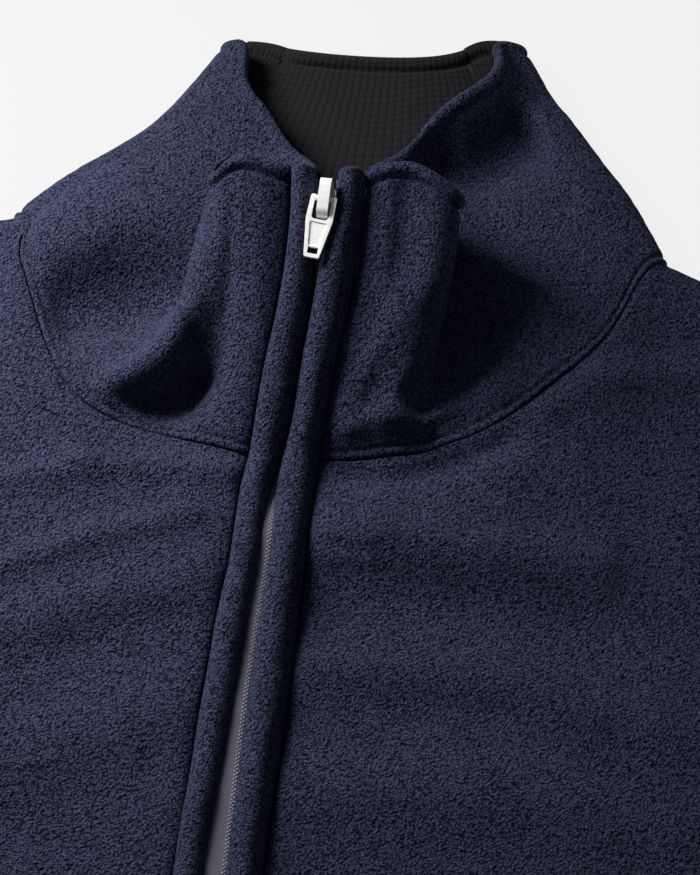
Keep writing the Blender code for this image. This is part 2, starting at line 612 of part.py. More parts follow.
def make_zip(fleece, tape, chain):
    """Both rolled strips, both tapes and the closed teeth between them."""
    left, right, across, off = zip_frame()
    near, far = inner_edges(left)
    width = np.linalg.norm(right - left, axis=1)
    height = WELT_PROUD + FLEECE
    middle = (near + far) / 2
    spans = {"welt_left": (0 * near + WELT_GAP, near), "welt_right": (width - WELT_GAP, far)}
    for name, (start, end) in spans.items():
        sweep(name, [[left[k] + across[k] * (start[k] + (end[k] - start[k]) * share)
                      + off[k] * (height * tall - FLEECE) for share, tall in WELT_SECTION]
                     for k in range(len(left))], fleece)
    half = CHAIN_WIDTH / 2 + SEAM_GAP
    top, low = -TAPE_DROP, -TAPE_DROP - TAPE_THICKNESS
    for name, side, edge, stop in (("zip_tape_left", -1, left, middle - half),
                                   ("zip_tape_right", 1, right, middle + half)):
        under = zip_edge(side)[1]
        sections = []
        for k in range(1, len(left)):
            line = [under[k], edge[k], left[k] + across[k] * stop[k]]
            sections.append([p + off[k] * top for p in line] + [p + off[k] * low for p in line[::-1]])
        sweep(name, sections, tape)
    slider_low = slider_frame()[1]
    sections = []
    for k in range(1, len(left)):
        if left[k][1] > slider_low:
            break
        sections.append([left[k] + across[k] * (middle[k] + reach) + off[k] * level for reach, level in (
            (-CHAIN_WIDTH / 2, -CHAIN_DEPTH), (-CHAIN_WIDTH / 2, top),
            (CHAIN_WIDTH / 2, top), (CHAIN_WIDTH / 2, -CHAIN_DEPTH))])
    sweep("zip_chain", sections, chain)


# The slider and its pull.

def slider_frame():
    """Axes of the slider on the zip: a matrix with x across, y up the zip and z off the cloth."""
    left, right, across, off = zip_frame()
    near, far = inner_edges(left)
    first = len(left) - len(UP)

    def at_level(values):
        return np.array([np.interp(SLIDER_LEVEL, UP, values[first:, c]) for c in range(values.shape[1])])

    middle = left + across * ((near + far) / 2)[:, None]
    centre, x, z = at_level(middle), at_level(across), at_level(off)
    z /= np.linalg.norm(z)
    y = np.cross(z, x)
    y /= np.linalg.norm(y)
    frame = Matrix.Identity(4)
    for row in range(3):
        frame[row][:] = (*(float(v[row]) * MM for v in (np.cross(y, z), y, z)),
                         float(centre[row] - ORIGIN[row]) * MM)
    return frame, (centre - y * BRIDGE_ENDS[1])[1] - SEAM_GAP


def outline_block(name, outline, low, high, axis):
    """A block cut to an outline and as thick as low to high along one axis."""
    place = {"x": lambda a, b, c: (c, a, b), "z": lambda a, b, c: (a, b, c)}[axis]
    mesh = bpy.data.meshes.new(name)
    count = len(outline)
    verts = [place(a, b, c) for c in (low, high) for a, b in outline]
    faces = [tuple(range(count)), tuple(range(2 * count - 1, count - 1, -1))]
    faces += [(k, k + count, (k + 1) % count + count, (k + 1) % count) for k in range(count)]
    mesh.from_pydata(verts, [], faces)
    shape = bmesh.new()
    shape.from_mesh(mesh)
    bmesh.ops.recalc_face_normals(shape, faces=shape.faces)
    shape.to_mesh(mesh)
    shape.free()
    item = bpy.data.objects.new(name, mesh)
    bpy.context.scene.collection.objects.link(item)
    return item


def arc(centre, radius, start, end, steps):
    """Points on an arc, with its angles in degrees."""
    turns = [math.radians(start + (end - start) * k / steps) for k in range(steps + 1)]
    return [(centre[0] + radius * math.cos(t), centre[1] + radius * math.sin(t)) for t in turns]


def combine(item, other, operation):
    """Adds one block to another, or cuts it away, and keeps the block that did it as a guide."""
    change = item.modifiers.new(operation.lower(), "BOOLEAN")
    change.operation = operation
    change.object = other
    other.hide_render = True
    other.display_type = "WIRE"
    other.matrix_world = item.matrix_world.copy()


def make_slider(frame, paint):
    """The slider: a bridge over two plates that run either side of the tapes."""
    top_end, low_end = -BRIDGE_ENDS[0], -BRIDGE_ENDS[1]
    foot = -TAPE_DROP + SEAM_GAP
    upper_round, lower_round = BRIDGE_ROUNDING
    side_view = [(low_end, foot), (top_end, foot)]
    side_view += arc((top_end - upper_round, BRIDGE_TOP - upper_round), upper_round, 0, 90, 5)
    side_view += arc((low_end + lower_round, BRIDGE_TOP - lower_round), lower_round, 90, 180, 5)
    slider = outline_block("slider", side_view, -BRIDGE_WIDTH / 2, BRIDGE_WIDTH / 2, "x")
    wide, narrow = PLATE_WIDTHS[0] / 2, PLATE_WIDTHS[1] / 2
    start, top = low_end + SEAM_GAP, top_end - SEAM_GAP
    plate = [(-narrow, start), (narrow, start), (wide, 0.0), (wide, top - PLATE_CORNER),
             (wide - PLATE_CORNER, top), (PLATE_CORNER - wide, top), (-wide, top - PLATE_CORNER), (-wide, 0.0)]
    upper = outline_block("slider_upper_plate", plate, foot + 0.05, foot + 0.05 + PLATE_THICKNESSES[0], "z")
    share = LOWER_PLATE_WIDTH / PLATE_WIDTHS[0]
    lower_top = -CHAIN_DEPTH - SEAM_GAP
    lower = outline_block("slider_lower_plate", [(x * share, y * 0.96) for x, y in plate],
                          lower_top - PLATE_THICKNESSES[1], lower_top, "z")
    half, post_top = POST_WIDTH / 2, top_end - 1.0
    post = outline_block("slider_post", [(-half, 0.0), (half, 0.0), (half, post_top), (-half, post_top)],
                         lower_top - PLATE_THICKNESSES[1] / 2, foot + PLATE_THICKNESSES[0] / 2, "z")
    hole = outline_block("slider_axle_hole", arc((0.0, AXLE_HEIGHT), AXLE_HOLE_RADIUS, 0, 337.5, 15),
                         -BRIDGE_WIDTH, BRIDGE_WIDTH, "x")
    slider.data.materials.append(paint)
    slider.matrix_world = frame
    for part in (upper, lower, post):
        combine(slider, part, "UNION")
    combine(slider, hole, "DIFFERENCE")
    return slider


def make_pull(frame, paint):
    """The pull: a tapered plate with a window round the bridge and an axle across that window."""
    ear, shoulder, end = (w / 2 for w in PULL_WIDTHS)
    far, half = -PULL_LENGTH, PULL_THICKNESS / 2
    width, window_end = PULL_WINDOW[0] / 2, -PULL_WINDOW[1]
    chamfer = 0.5
    right_side = [(end - chamfer, far), (end, far + chamfer), (shoulder, window_end), (ear, 0.0),
                  (ear - chamfer, EAR_TOP)]
    outline = right_side + [(-x, y) for x, y in right_side[::-1]]
    pull = outline_block("pull", outline, -half, half, "z")
    pull.data.materials.append(paint)
    skew = Matrix.Rotation(math.radians(PULL_SKEW), 4, "Z")
    pull.matrix_world = frame @ Matrix.Translation((0, 0, AXLE_HEIGHT)) @ skew
    through = 2 * PULL_THICKNESS
    centre = width - WINDOW_CORNER
    window = [(width, 2 * EAR_TOP), (-width, 2 * EAR_TOP)]
    window += arc((-centre, window_end + WINDOW_CORNER), WINDOW_CORNER, 180, 270, 4)
    window += arc((centre, window_end + WINDOW_CORNER), WINDOW_CORNER, 270, 360, 4)
    cutter = outline_block("pull_window", window, -through, through, "z")
    eye_half, eye_low = PULL_EYE[0] / 2, far + PULL_EYE[2]
    eye_top = eye_low + PULL_EYE[1]
    eye = outline_block("pull_eye", [(-eye_half, eye_low), (eye_half, eye_low), (eye_half, eye_top),
                                     (-eye_half, eye_top)], -through, through, "z")
    top_half, low_half = PULL_RECESS[0] / 2, PULL_RECESS[1] / 2
    panel_low, panel_top = eye_top + PULL_RIM / 2, window_end - PULL_RIM
    panel = [(-low_half, panel_low), (low_half, panel_low), (top_half, panel_top), (-top_half, panel_top)]
    recess = outline_block("pull_recess", panel, half - PULL_RECESS[2], through, "z")
    axle = outline_block("pull_axle", arc((0.0, 0.0), AXLE_RADIUS, 0, 330, 11), -ear + 0.5, ear - 0.5, "x")
    for part in (cutter, eye, recess):
        combine(pull, part, "DIFFERENCE")
    combine(pull, axle, "UNION")
    return pull


def main():
    """Clears the scene and makes every piece."""
    for item in list(bpy.data.objects):
        bpy.data.objects.remove(item, do_unlink=True)
    navy = finish("navy_fleece", (0.036, 0.042, 0.085), 0.95)
    knit = finish("charcoal_knit", (0.022, 0.021, 0.022), 0.9)
    tape = finish("grey_tape", (0.10, 0.10, 0.10), 0.8)
    teeth = finish("grey_teeth", (0.17, 0.165, 0.165), 0.45)
    paint = finish("white_paint", (0.80, 0.80, 0.79), 0.35)
    make_front(navy)
    make_back(navy)
    make_sleeve(-1, "sleeve_left", navy)
    make_sleeve(1, "sleeve_right", navy)
    make_collar(navy, knit)
    make_zip(navy, tape, teeth)
    frame = slider_frame()[0]
    make_slider(frame, paint)
    make_pull(frame, paint)


main()
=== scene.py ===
# %% [markdown]
# # A half-zip track top in fleece, laid flat on its back
#
# This lesson dresses it: every piece of cloth gets a fine skin with its seams, stitch lines and
# creases, and the zip gets its weave, its coil and its painted slider. The solids stay where they
# are, so the skins are worked out from the same few sizes that the solids were made from.

# %% Load the frame
import json
import math

import bmesh
import bpy
import numpy as np
from mathutils import Matrix, Vector, noise

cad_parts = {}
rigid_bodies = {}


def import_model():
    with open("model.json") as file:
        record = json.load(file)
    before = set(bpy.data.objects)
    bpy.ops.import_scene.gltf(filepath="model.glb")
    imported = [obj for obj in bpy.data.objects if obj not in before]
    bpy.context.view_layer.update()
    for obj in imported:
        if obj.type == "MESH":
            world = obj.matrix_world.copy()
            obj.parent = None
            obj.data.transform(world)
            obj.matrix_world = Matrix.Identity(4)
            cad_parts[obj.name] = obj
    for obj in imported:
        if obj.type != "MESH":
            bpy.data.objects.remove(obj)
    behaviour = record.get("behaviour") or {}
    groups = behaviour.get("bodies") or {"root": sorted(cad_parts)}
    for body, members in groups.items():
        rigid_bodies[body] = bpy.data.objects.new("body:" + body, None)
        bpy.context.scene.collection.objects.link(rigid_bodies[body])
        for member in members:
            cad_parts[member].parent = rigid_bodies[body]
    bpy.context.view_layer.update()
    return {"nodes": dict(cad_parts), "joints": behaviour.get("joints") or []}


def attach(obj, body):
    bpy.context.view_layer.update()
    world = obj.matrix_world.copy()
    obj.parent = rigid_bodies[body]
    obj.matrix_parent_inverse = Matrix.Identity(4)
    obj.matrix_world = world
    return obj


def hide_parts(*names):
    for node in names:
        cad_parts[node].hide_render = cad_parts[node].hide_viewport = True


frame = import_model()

print("solids:", ", ".join(sorted(frame["nodes"])))

# %% [markdown]
# ## From a maker's millimetres to the scene's metres
#
# A garment is cut in millimetres from a point that a cutter can find. Here x = 0 is the zip where
# it meets the neck seam, y = 0 is level with the shoulder points, and z = 0 is the table. One small
# function turns those points into the scene's metres, so that no other line has to.

# %% Layout frame
ORIGIN = np.array([2.0, -301.0, 0.0])
MILLIMETRE = 0.001


def in_scene(points):
    """Layout points in millimetres as points of the scene in metres."""
    return (np.asarray(points, float) - ORIGIN) * MILLIMETRE


print("the neck seam's middle lies at", in_scene([0.0, -84.0, 11.5]).round(4))

# %% [markdown]
# ## The camera
#
# The picture is a close-up taken from a metre away with a long lens, looking down at the collar
# from a little to the right of the zip. A long lens keeps the seam lines almost parallel. The
# focal length is worked out from how many pixels a millimetre takes, on a frame 875 pixels tall.

# %% Camera
LOOK_AT = (20.0, -70.0, 0.0)
TURN, RISE = math.radians(7.0), math.radians(57.0)
CAMERA_DISTANCE = 1.0
PIXELS_PER_UNIT_ANGLE = 3320.0
FRAME_HEIGHT = 875.0
SENSOR_SIZE = 36.0


def add_object(name, data):
    """A mesh, a camera or a light as an object in the scene."""
    thing = bpy.data.objects.new(name, data)
    bpy.context.scene.collection.objects.link(thing)
    return thing


camera_data = bpy.data.cameras.new("camera")
camera_data.lens = PIXELS_PER_UNIT_ANGLE * SENSOR_SIZE / FRAME_HEIGHT
camera_data.sensor_width = SENSOR_SIZE
camera = add_object("camera", camera_data)
bpy.context.scene.camera = camera
towards_camera = Vector((math.sin(TURN) * math.cos(RISE), -math.cos(TURN) * math.cos(RISE),
                         math.sin(RISE)))
camera.location = Vector(in_scene(LOOK_AT)) + towards_camera * CAMERA_DISTANCE
camera.rotation_euler = towards_camera.to_track_quat("Z", "Y").to_euler()
print("lens of", round(camera_data.lens, 1), "mm")

# %% [markdown]
# ## The light and the table
#
# Fleece shows its pile only when light rakes over it. One soft box stands beyond the left shoulder,
# so folds throw soft shadows down to the right, and a dim room fills them. The garment lies on a
# lit white table, as in a shop's catalogue: the ground stays white and takes hardly any shadow.
# The plain Standard view keeps the blacks of a dark cloth deep.

# %% Light and table
TABLE_SIZE = 9.0
TABLE_DROP = 0.0004


def soft_box(name, towards_light, distance, aim, size, spread, power, colour):
    """A square light behind a grid, off in a direction from the collar and turned to a point."""
    data = bpy.data.lights.new(name, "AREA")
    data.shape = "SQUARE"
    data.size = size
    data.spread = math.radians(spread)
    data.energy = power
    data.color = colour
    lamp = add_object(name, data)
    lamp.location = Vector(in_scene(LOOK_AT)) + Vector(towards_light).normalized() * distance
    beam = lamp.location - Vector(in_scene(aim))
    lamp.rotation_euler = beam.to_track_quat("Z", "Y").to_euler()


def set_sockets(node, values):
    """Gives sockets of a node their plain values."""
    for socket, value in values.items():
        node.inputs[socket].default_value = value


bpy.context.scene.view_settings.view_transform = "Standard"
soft_box("key light", towards_light=(-0.75, 0.38, 0.54), distance=0.52, aim=(-90.0, -110.0, 0.0),
         size=0.24, spread=100.0, power=2.05, colour=(1.0, 0.99, 0.97))
room = bpy.data.worlds.new("dim room")
bpy.context.scene.world = room
room.use_nodes = True
set_sockets(room.node_tree.nodes["Background"], {"Color": (0.86, 0.92, 1.0, 1.0), "Strength": 0.12})

bpy.ops.mesh.primitive_plane_add(size=TABLE_SIZE, location=(0.0, 0.0, -TABLE_DROP))
table = bpy.context.object
table.name = "table"
table_paint = bpy.data.materials.new("lit white table")
table_paint.use_nodes = True
set_sockets(table_paint.node_tree.nodes["Principled BSDF"], {
    "Base Color": (0.03, 0.03, 0.03, 1.0), "Roughness": 0.9, "Specular IOR Level": 0.0,
    "Emission Color": (1.0, 1.0, 1.0, 1.0), "Emission Strength": 0.85})
table.data.materials.append(table_paint)
print("one key light, a dim room and a lit white table")

# %% [markdown]
# ## The collar's shape
#
# A stand-up collar that lies half open buckles: the two flaps beside the zip stay flat because
# the zip stiffens them, and the cloth behind them dives inward and then turns out to the side
# folds. Each row of these tables is one such line, from the neck seam up to the top edge. A smooth
# curve through the rows gives every other point.

# %% Cloth and gaps
FLEECE = 2.2             # thickness of the fleece
LINING = 1.5             # thickness of the collar lining
SEAM_GAP = 0.3           # air between neighbouring pieces
WALL = FLEECE + SEAM_GAP + LINING
print("the collar's wall is", WALL, "mm thick")

# %% Rows of the collar
# Levels on the collar, from the neck seam (0) to its top edge (1), at which the tables give points.
LEVELS = np.array([0.0, 0.30, 0.65, 1.0])

# The collar, from each zip edge to the side fold: one row for each fold line or panel middle, with
# the point of its outer face at the seam, low on the collar, high on it and at its top edge.
LEFT_COLLAR = {
    "zip":    ((-8.3, -87, 11.5), (-6.8, -61, 21), (-4.3, -31, 33), (-6.3, -3, 44)),
    "panel":  ((-20, -84.8, 11.5), (-16.5, -62, 19), (-14.5, -31, 34), (-15.5, -1.5, 45)),
    "valley": ((-42, -80.5, 10.5), (-27.5, -66, 10.5), (-23, -33, 33), (-23.5, -1.5, 45)),
    "ridge":  ((-57, -76, 12), (-36.5, -57.5, 20), (-31, -34, 32), (-30.5, -4.5, 41.5)),
    "under":  ((-64, -70.5, 12), (-44, -52, 17.5), (-35, -28.5, 26), (-30.5, -1.5, 35)),
    "return": ((-70, -63, 12), (-50, -45, 15.5), (-29.5, -20, 20.5), (-16, 6, 29)),
    "tuck":   ((-75, -54, 12), (-54, -38, 15), (-24, -12, 16.5), (-2, 13, 24)),
    "side":   ((-80, -43, 12.5), (-59, -28, 15), (-33, -4, 14), (-8, 23, 18)),
    "arm":    ((-86, -29, 12.5), (-66, -10, 15.5), (-46, 16, 14.5), (-21, 42, 16)),
    "near":   ((-89, -18, 12), (-72, 3, 14), (-53, 26, 13.5), (-28.5, 56, 13.5)),
}
# The side folds: x, y and height of the rounded edge at the four levels, and how far the upper
# layer lies short of the lower one there.
LEFT_FOLD = ((-94, -6, 11, 0), (-77.5, 14, 12, 0), (-56, 36, 12, 0), (-37.5, 73.5, 11.5, 3))

RIGHT_COLLAR = {
    "zip":    ((12.5, -86, 11.5), (14, -63, 21), (17, -33, 33), (16.6, -1.8, 44.4)),
    "panel":  ((20, -85.5, 11.5), (20.7, -64, 20), (23, -34, 33.5), (24, 0.2, 46.2)),
    "valley": ((27, -84, 11.5), (27, -64, 20.5), (31.5, -35, 33.5), (32, 0.5, 46.5)),
    "ridge":  ((34, -82, 11.5), (35, -66, 20), (42.5, -36, 31.5), (44.5, -4.5, 43)),
    "under":  ((42, -79.5, 11), (42, -62, 15), (45, -31, 25), (45.5, -2, 36)),
    "return": ((49, -76, 11.5), (44, -52, 13), (38, -22, 20), (32, 7, 29)),
    "tuck":   ((56, -72, 11.5), (46, -42, 11), (34, -12, 16.5), (17, 14, 24)),
    "side":   ((66, -64.5, 12), (58, -32, 13), (42, 0, 13.5), (22, 24, 19)),
    "arm":    ((82, -47, 12), (74, -12, 13.5), (58, 19, 11), (36, 46, 19)),
    "near":   ((97, -24, 12), (87, 4, 13), (72, 34, 12), (50, 68, 15)),
}
RIGHT_FOLD = ((110.5, 0.5, 11, 0), (98, 23, 12, 0), (79, 49, 12, 0), (57, 83.5, 11.5, 3))
# From a side fold into the collar at each level, mirrored on the right.
FOLD_INWARD = ((0.80, -0.60), (0.80, -0.60), (0.85, -0.50), (1, 0))
BACK_COLLAR = {
    "left":   ((-44, -13, 0), (-34, 17, 0), (-22, 47, 0.3), (-14, 75, 0.8)),
    "middle": ((9, -14, 0), (9, 15, 0), (10, 46, 0.3), (10, 75.5, 1)),
    "right":  ((62, -9.5, 0), (55, 20, 0), (45, 52, 0.3), (35, 80, 0.8)),
}

print("lines across the collar:", len(LEFT_COLLAR) + len(BACK_COLLAR) + len(RIGHT_COLLAR))

# %% [markdown]
# ## Smooth curves through the tables
#
# A natural cubic curve is what a thin batten takes when it is bent round nails, and cloth bends
# much the same way. The same function runs round the collar and up it.

# %% Curves of the collar
def spline(knots, values, where):
    """Natural cubic curve through values at the knots, read at the places in where."""
    knots = np.asarray(knots, float)
    values = np.asarray(values, float)
    count = len(knots)
    step = np.diff(knots)
    system = np.zeros((count, count))
    right = np.zeros(values.shape)
    system[0, 0] = system[-1, -1] = 1.0
    for k in range(1, count - 1):
        system[k, k - 1:k + 2] = step[k - 1], 2 * (step[k - 1] + step[k]), step[k]
        right[k] = 6 * ((values[k + 1] - values[k]) / step[k]
                        - (values[k] - values[k - 1]) / step[k - 1])
    bend = np.linalg.solve(system, right.reshape(count, -1)).reshape(values.shape)
    where = np.atleast_1d(np.asarray(where, float))
    k = np.clip(np.searchsorted(knots, where) - 1, 0, count - 2)
    wide = (-1,) + (1,) * (values.ndim - 1)
    h = step[k].reshape(wide)
    a = (knots[k + 1] - where).reshape(wide)
    b = (where - knots[k]).reshape(wide)
    return (bend[k] * a ** 3 / (6 * h) + bend[k + 1] * b ** 3 / (6 * h)
            + (values[k] / h - bend[k] * h / 6) * a
            + (values[k + 1] / h - bend[k + 1] * h / 6) * b)


def fold_rows(fold, side):
    """Rows that carry the cloth round a side fold, from the one over it to the one under it."""
    rows = []
    for turn in (90.0, 45.0, 0.0, -45.0, -90.0):
        lift, back = math.sin(math.radians(turn)), 1 - math.cos(math.radians(turn))
        rows.append([(x - side * dx * back * height / 2, y + dy * back * height / 2 - lean * lift,
                      height / 2 * (1 + lift))
                     for (x, y, height, lean), (dx, dy) in zip(fold, FOLD_INWARD)])
    return rows


COLLAR_ROWS = np.array([*LEFT_COLLAR.values(), *fold_rows(LEFT_FOLD, -1), *BACK_COLLAR.values(),
                        *fold_rows(RIGHT_FOLD, 1)[::-1], *list(RIGHT_COLLAR.values())[::-1]], float)
# The place of each row along the collar is the sum of its mean distances at the four levels.
ROW_STEPS = np.linalg.norm(np.diff(COLLAR_ROWS, axis=0), axis=2).mean(axis=1)
ROW_PLACES = np.append(0.0, np.cumsum(ROW_STEPS))
LAST_PLACE = ROW_PLACES[-1]
FOLD_EDGE_LEFT = ROW_PLACES[len(LEFT_COLLAR) + 2]
FOLD_EDGE_RIGHT = ROW_PLACES[-len(RIGHT_COLLAR) - 3]


def collar_grid(along, up):
    """Points of the collar's outer face at places along it and levels up it."""
    fine = spline(ROW_PLACES, COLLAR_ROWS, along)
    points = spline(LEVELS, fine.transpose(1, 0, 2), up).transpose(1, 0, 2)
    points[..., 2] = np.maximum(points[..., 2], 0.0)
    return points


print("the collar is", round(LAST_PLACE), "mm long from zip to zip")

# %% Where the neck seam runs
def seam_away(places):
    """Unit directions in plan, square to the neck seam, that lead from the collar to the body."""
    places = np.asarray(places, float)
    near = collar_grid(places, [0.0, 0.02])
    away = (near[:, 0] - near[:, 1])[:, :2]
    away /= np.linalg.norm(away, axis=1, keepdims=True)
    run = (collar_grid(places + 0.5, [0.0]) - collar_grid(places - 0.5, [0.0]))[:, 0]
    flat_share = np.linalg.norm(run[:, :2], axis=1) / np.linalg.norm(run, axis=1)
    square = np.stack([run[:, 1], -run[:, 0]], axis=1)
    square *= np.sign((square * away).sum(axis=1, keepdims=True))
    square /= np.linalg.norm(square, axis=1, keepdims=True) + 1e-9
    share = np.clip((flat_share - 0.3) / 0.5, 0, 1)[:, None]
    away = away * (1 - share) + square * share
    return away / np.linalg.norm(away, axis=1, keepdims=True)


def seam_line(places):
    """Points of the neck seam on the body's side, a seam gap away from the collar in plan."""
    line = collar_grid(places, [0.0])[:, 0].copy()
    line[:, :2] += SEAM_GAP * seam_away(places)
    return line


NECK_ENDS = {-1: seam_line([FOLD_EDGE_LEFT])[0, :2], 1: seam_line([FOLD_EDGE_RIGHT])[0, :2]}
print("the shoulder seams meet the neck at", NECK_ENDS[-1].round(1), "and", NECK_ENDS[1].round(1))

# %% [markdown]
# ## The body's shape
#
# Front and back are cut flat. A patch that fills its four border lines gives each point of a
# panel, and a few functions give its height above the table: rounded down at the edges where the
# panels meet, raised along the zip and up to the neck seam, with low folds across it.

# %% Sizes of the body
BODY_CENTRE = 2.0        # x of the middle of the body
CHEST_HALF = 280.0       # half of the body width under the arms
HEM_HALF = 262.0         # half of the body width at the hem
HEM_Y = -690.0           # hem line
SHOULDER_TIP = (243.0, -46.0)   # end of the shoulder seam, from the middle of the body
UNDERARM_Y = -272.0      # level of the underarm
ARMHOLE_HOLLOW = 26.0    # how far the armhole curves in
ZIP_END_Y = -338.0       # lower end of the zip opening
BODY_HEIGHT = 5.6        # top of the front panel above the table
EDGE_HEIGHT = 2.8        # where front and back meet on the rounded edge
EDGE_GAP = 0.45          # air between them there
EDGE_RADIUS = 4.0        # plan radius of that rounded edge
FRONT_SLOPE = 60.0       # reach of the slope that carries the front up to the neck seam
BACK_SLOPE = 14.0        # and of the short ones at the two ends of the shoulder seams
BODY_LENGTH = SHOULDER_TIP[1] - HEM_Y
UNDERARM_SHARE = (SHOULDER_TIP[1] - UNDERARM_Y) / BODY_LENGTH
NECK_Y = LEFT_COLLAR["zip"][0][1]
ZIP_SHARE = (ZIP_END_Y - NECK_Y) / (HEM_Y - NECK_Y)
print("the body is", BODY_LENGTH, "mm long from shoulder tip to hem")

# %% Folds of the body
# Soft rises of the front: start and end, half width, height. The first one lies along the zip,
# which is thicker than the cloth; the others are low folds.
BODY_FOLDS = [
    (((1, -84), (1, -346)), 30, 2.1),
    (((-100, -150), (-30, -118)), 16, 1.8),
    (((-95, -215), (-35, -170)), 18, 1.6),
    (((30, -104), (120, -128)), 14, 1.6),
    (((40, -190), (150, -165)), 20, 1.8),
    (((-210, -170), (-130, -260)), 24, 2.4),
    (((205, -160), (120, -265)), 24, 2.4),
    (((-235, -330), (-120, -400)), 26, 2.6),
    (((240, -345), (130, -420)), 26, 2.6),
    (((-200, -520), (-60, -560)), 28, 2.2),
    (((70, -500), (215, -545)), 28, 2.2),
    (((-20, -390), (25, -470)), 24, 1.8),
]


def edge_distance(x, y, edges):
    """Distance in plan from points to the nearest of some straight edges."""
    nearest = np.full(x.shape, np.inf)
    for start, end in edges:
        start, end = np.array(start), np.array(end)
        run = end - start
        along = np.clip(((x - start[0]) * run[0] + (y - start[1]) * run[1]) / (run @ run), 0, 1)
        nearest = np.minimum(nearest, np.hypot(x - start[0] - along * run[0],
                                               y - start[1] - along * run[1]))
    return nearest


def bell(distance, width):
    """A share that is 1 at no distance and fades softly to 0 past a width."""
    return np.exp(-(distance / width) ** 2)


def creases(x, y, table):
    """Soft ridges, and troughs of negative height, from a table of lines, half widths, heights."""
    total = np.zeros_like(x)
    for points, half_width, height in table:
        away = edge_distance(x, y, list(zip(points[:-1], points[1:])))
        total += height * bell(away, half_width)
    return total


print("low folds of the front:", len(BODY_FOLDS))

# %% Heights of the body
def rounding(distance):
    """Height share of a rounded edge at a distance from it: 0 on the edge, 1 past its radius."""
    return np.sqrt(1 - (1 - np.clip(distance / EDGE_RADIUS, 0, 1)) ** 2)


def top_height(x, y, distance):
    """Height of the outer face of the cloth that lies on top, at a distance from a rounded edge."""
    above = BODY_HEIGHT - EDGE_HEIGHT + creases(x, y, BODY_FOLDS)
    return EDGE_HEIGHT + above * rounding(distance)


def body_corners(side):
    """Corners of one half of the body: neck, shoulder tip, underarm and hem."""
    notch = NECK_ENDS[side]
    tip = (BODY_CENTRE + side * SHOULDER_TIP[0], SHOULDER_TIP[1])
    underarm = (BODY_CENTRE + side * CHEST_HALF, UNDERARM_Y)
    hem = (BODY_CENTRE + side * HEM_HALF, HEM_Y)
    return [np.array(corner) for corner in (notch, tip, underarm, hem)]


def armhole(side, share):
    """Points of the armhole between the shoulder tip (0) and the underarm (1)."""
    tip, underarm = body_corners(side)[1:3]
    share = np.asarray(share, float)[:, None]
    middle = (tip + underarm) / 2 - np.array([side * ARMHOLE_HOLLOW, 0.0])
    return tip * (1 - share) ** 2 + 2 * middle * share * (1 - share) + underarm * share ** 2


def rest_height(plan, lying_on_top):
    """Height of a panel's outer face at points in plan."""
    x, y = plan[..., 0], plan[..., 1]
    shoulders_and_sides = [body_corners(side)[k:k + 2] for k in (0, 2) for side in (-1, 1)]
    nearest = edge_distance(x, y, shoulders_and_sides)
    if lying_on_top:
        return top_height(x, y, nearest)
    return (EDGE_HEIGHT - EDGE_GAP) * (1 - rounding(nearest))


def raised(plan, height):
    """Points in plan with their heights."""
    return np.concatenate([plan, np.asarray(height)[..., None]], axis=-1)


def seam_lift(plan, seam_height, first, lying_on_top):
    """Extra height that carries a panel up to the neck seam and fades away from it."""
    last = first + len(seam_height) - 1
    at_neck = seam_height - rest_height(plan[:, 0], lying_on_top)[first:last + 1]
    to_neck = [np.linalg.norm(plan[:, 0] - plan[k, 0], axis=1) for k in (first, last)]
    step = at_neck[0] * bell(to_neck[0], BACK_SLOPE)
    step[last:] = at_neck[-1] * bell(to_neck[1][last:], BACK_SLOPE)
    step[first:last + 1] = at_neck
    away = np.linalg.norm(plan - plan[:, :1], axis=2)
    return step[:, None] * bell(away, FRONT_SLOPE if lying_on_top else BACK_SLOPE)


print("the front lies", BODY_HEIGHT, "mm high, and its rounded edges", EDGE_HEIGHT)

# %% [markdown]
# ## Thread counts: how fine each skin is
#
# A skin needs a point about every millimetre where the camera looks, and far fewer on the sleeves
# and the lower body. `graded` spaces points evenly in steps that grow from one size to another, and
# `close_at_edges` adds the few close points that let an edge roll over.

# %% Spacing of the points
EDGE_STEPS = np.array([0.0, 0.22, 0.5, 0.85, 1.3])
CLOSE_REACH = 1.6


def graded(start, end, first_step, growth=1.0, largest=12.0):
    """Values from start to end whose steps grow by a factor, up to a largest one."""
    values, step = [start], first_step
    while values[-1] + step < end - step * 0.4:
        values.append(values[-1] + step)
        step = min(step * growth, largest)
    return np.array(values + [end])


def close_at_edges(values):
    """The same values with a few close ones added at the first and the last."""
    low, high = values[0], values[-1]
    inner = values[(values > low + CLOSE_REACH) & (values < high - CLOSE_REACH)]
    return np.concatenate([low + EDGE_STEPS, inner, high - EDGE_STEPS[::-1]])


print("steps that grow:", graded(0.0, 30.0, 1.0, 1.2).round(1))

# %% Meshes from a net of points
MAP_SCALE = 0.01         # of the flat map, for each millimetre of cloth


def unit(vectors):
    """Vectors of length one."""
    return vectors / (np.linalg.norm(vectors, axis=-1, keepdims=True) + 1e-12)


def net_normals(net):
    """Outward directions of a net whose first axis runs across and the second up or down."""
    return unit(np.cross(np.gradient(net, axis=1), np.gradient(net, axis=0)))


def line_lengths(line):
    """Distance along a line from its first point to each."""
    return np.concatenate([[0], np.cumsum(np.linalg.norm(np.diff(line, axis=0), axis=1))])


def run_lengths(net, axis):
    """Distances along one axis of a net from its first line to each point and on to its last."""
    steps = np.linalg.norm(np.diff(net, axis=axis), axis=2)
    pad = [(0, 0), (0, 0)]
    pad[axis] = (1, 0)
    run = np.cumsum(np.pad(steps, pad), axis=axis)
    return run, np.take(run, [-1], axis=axis) - run


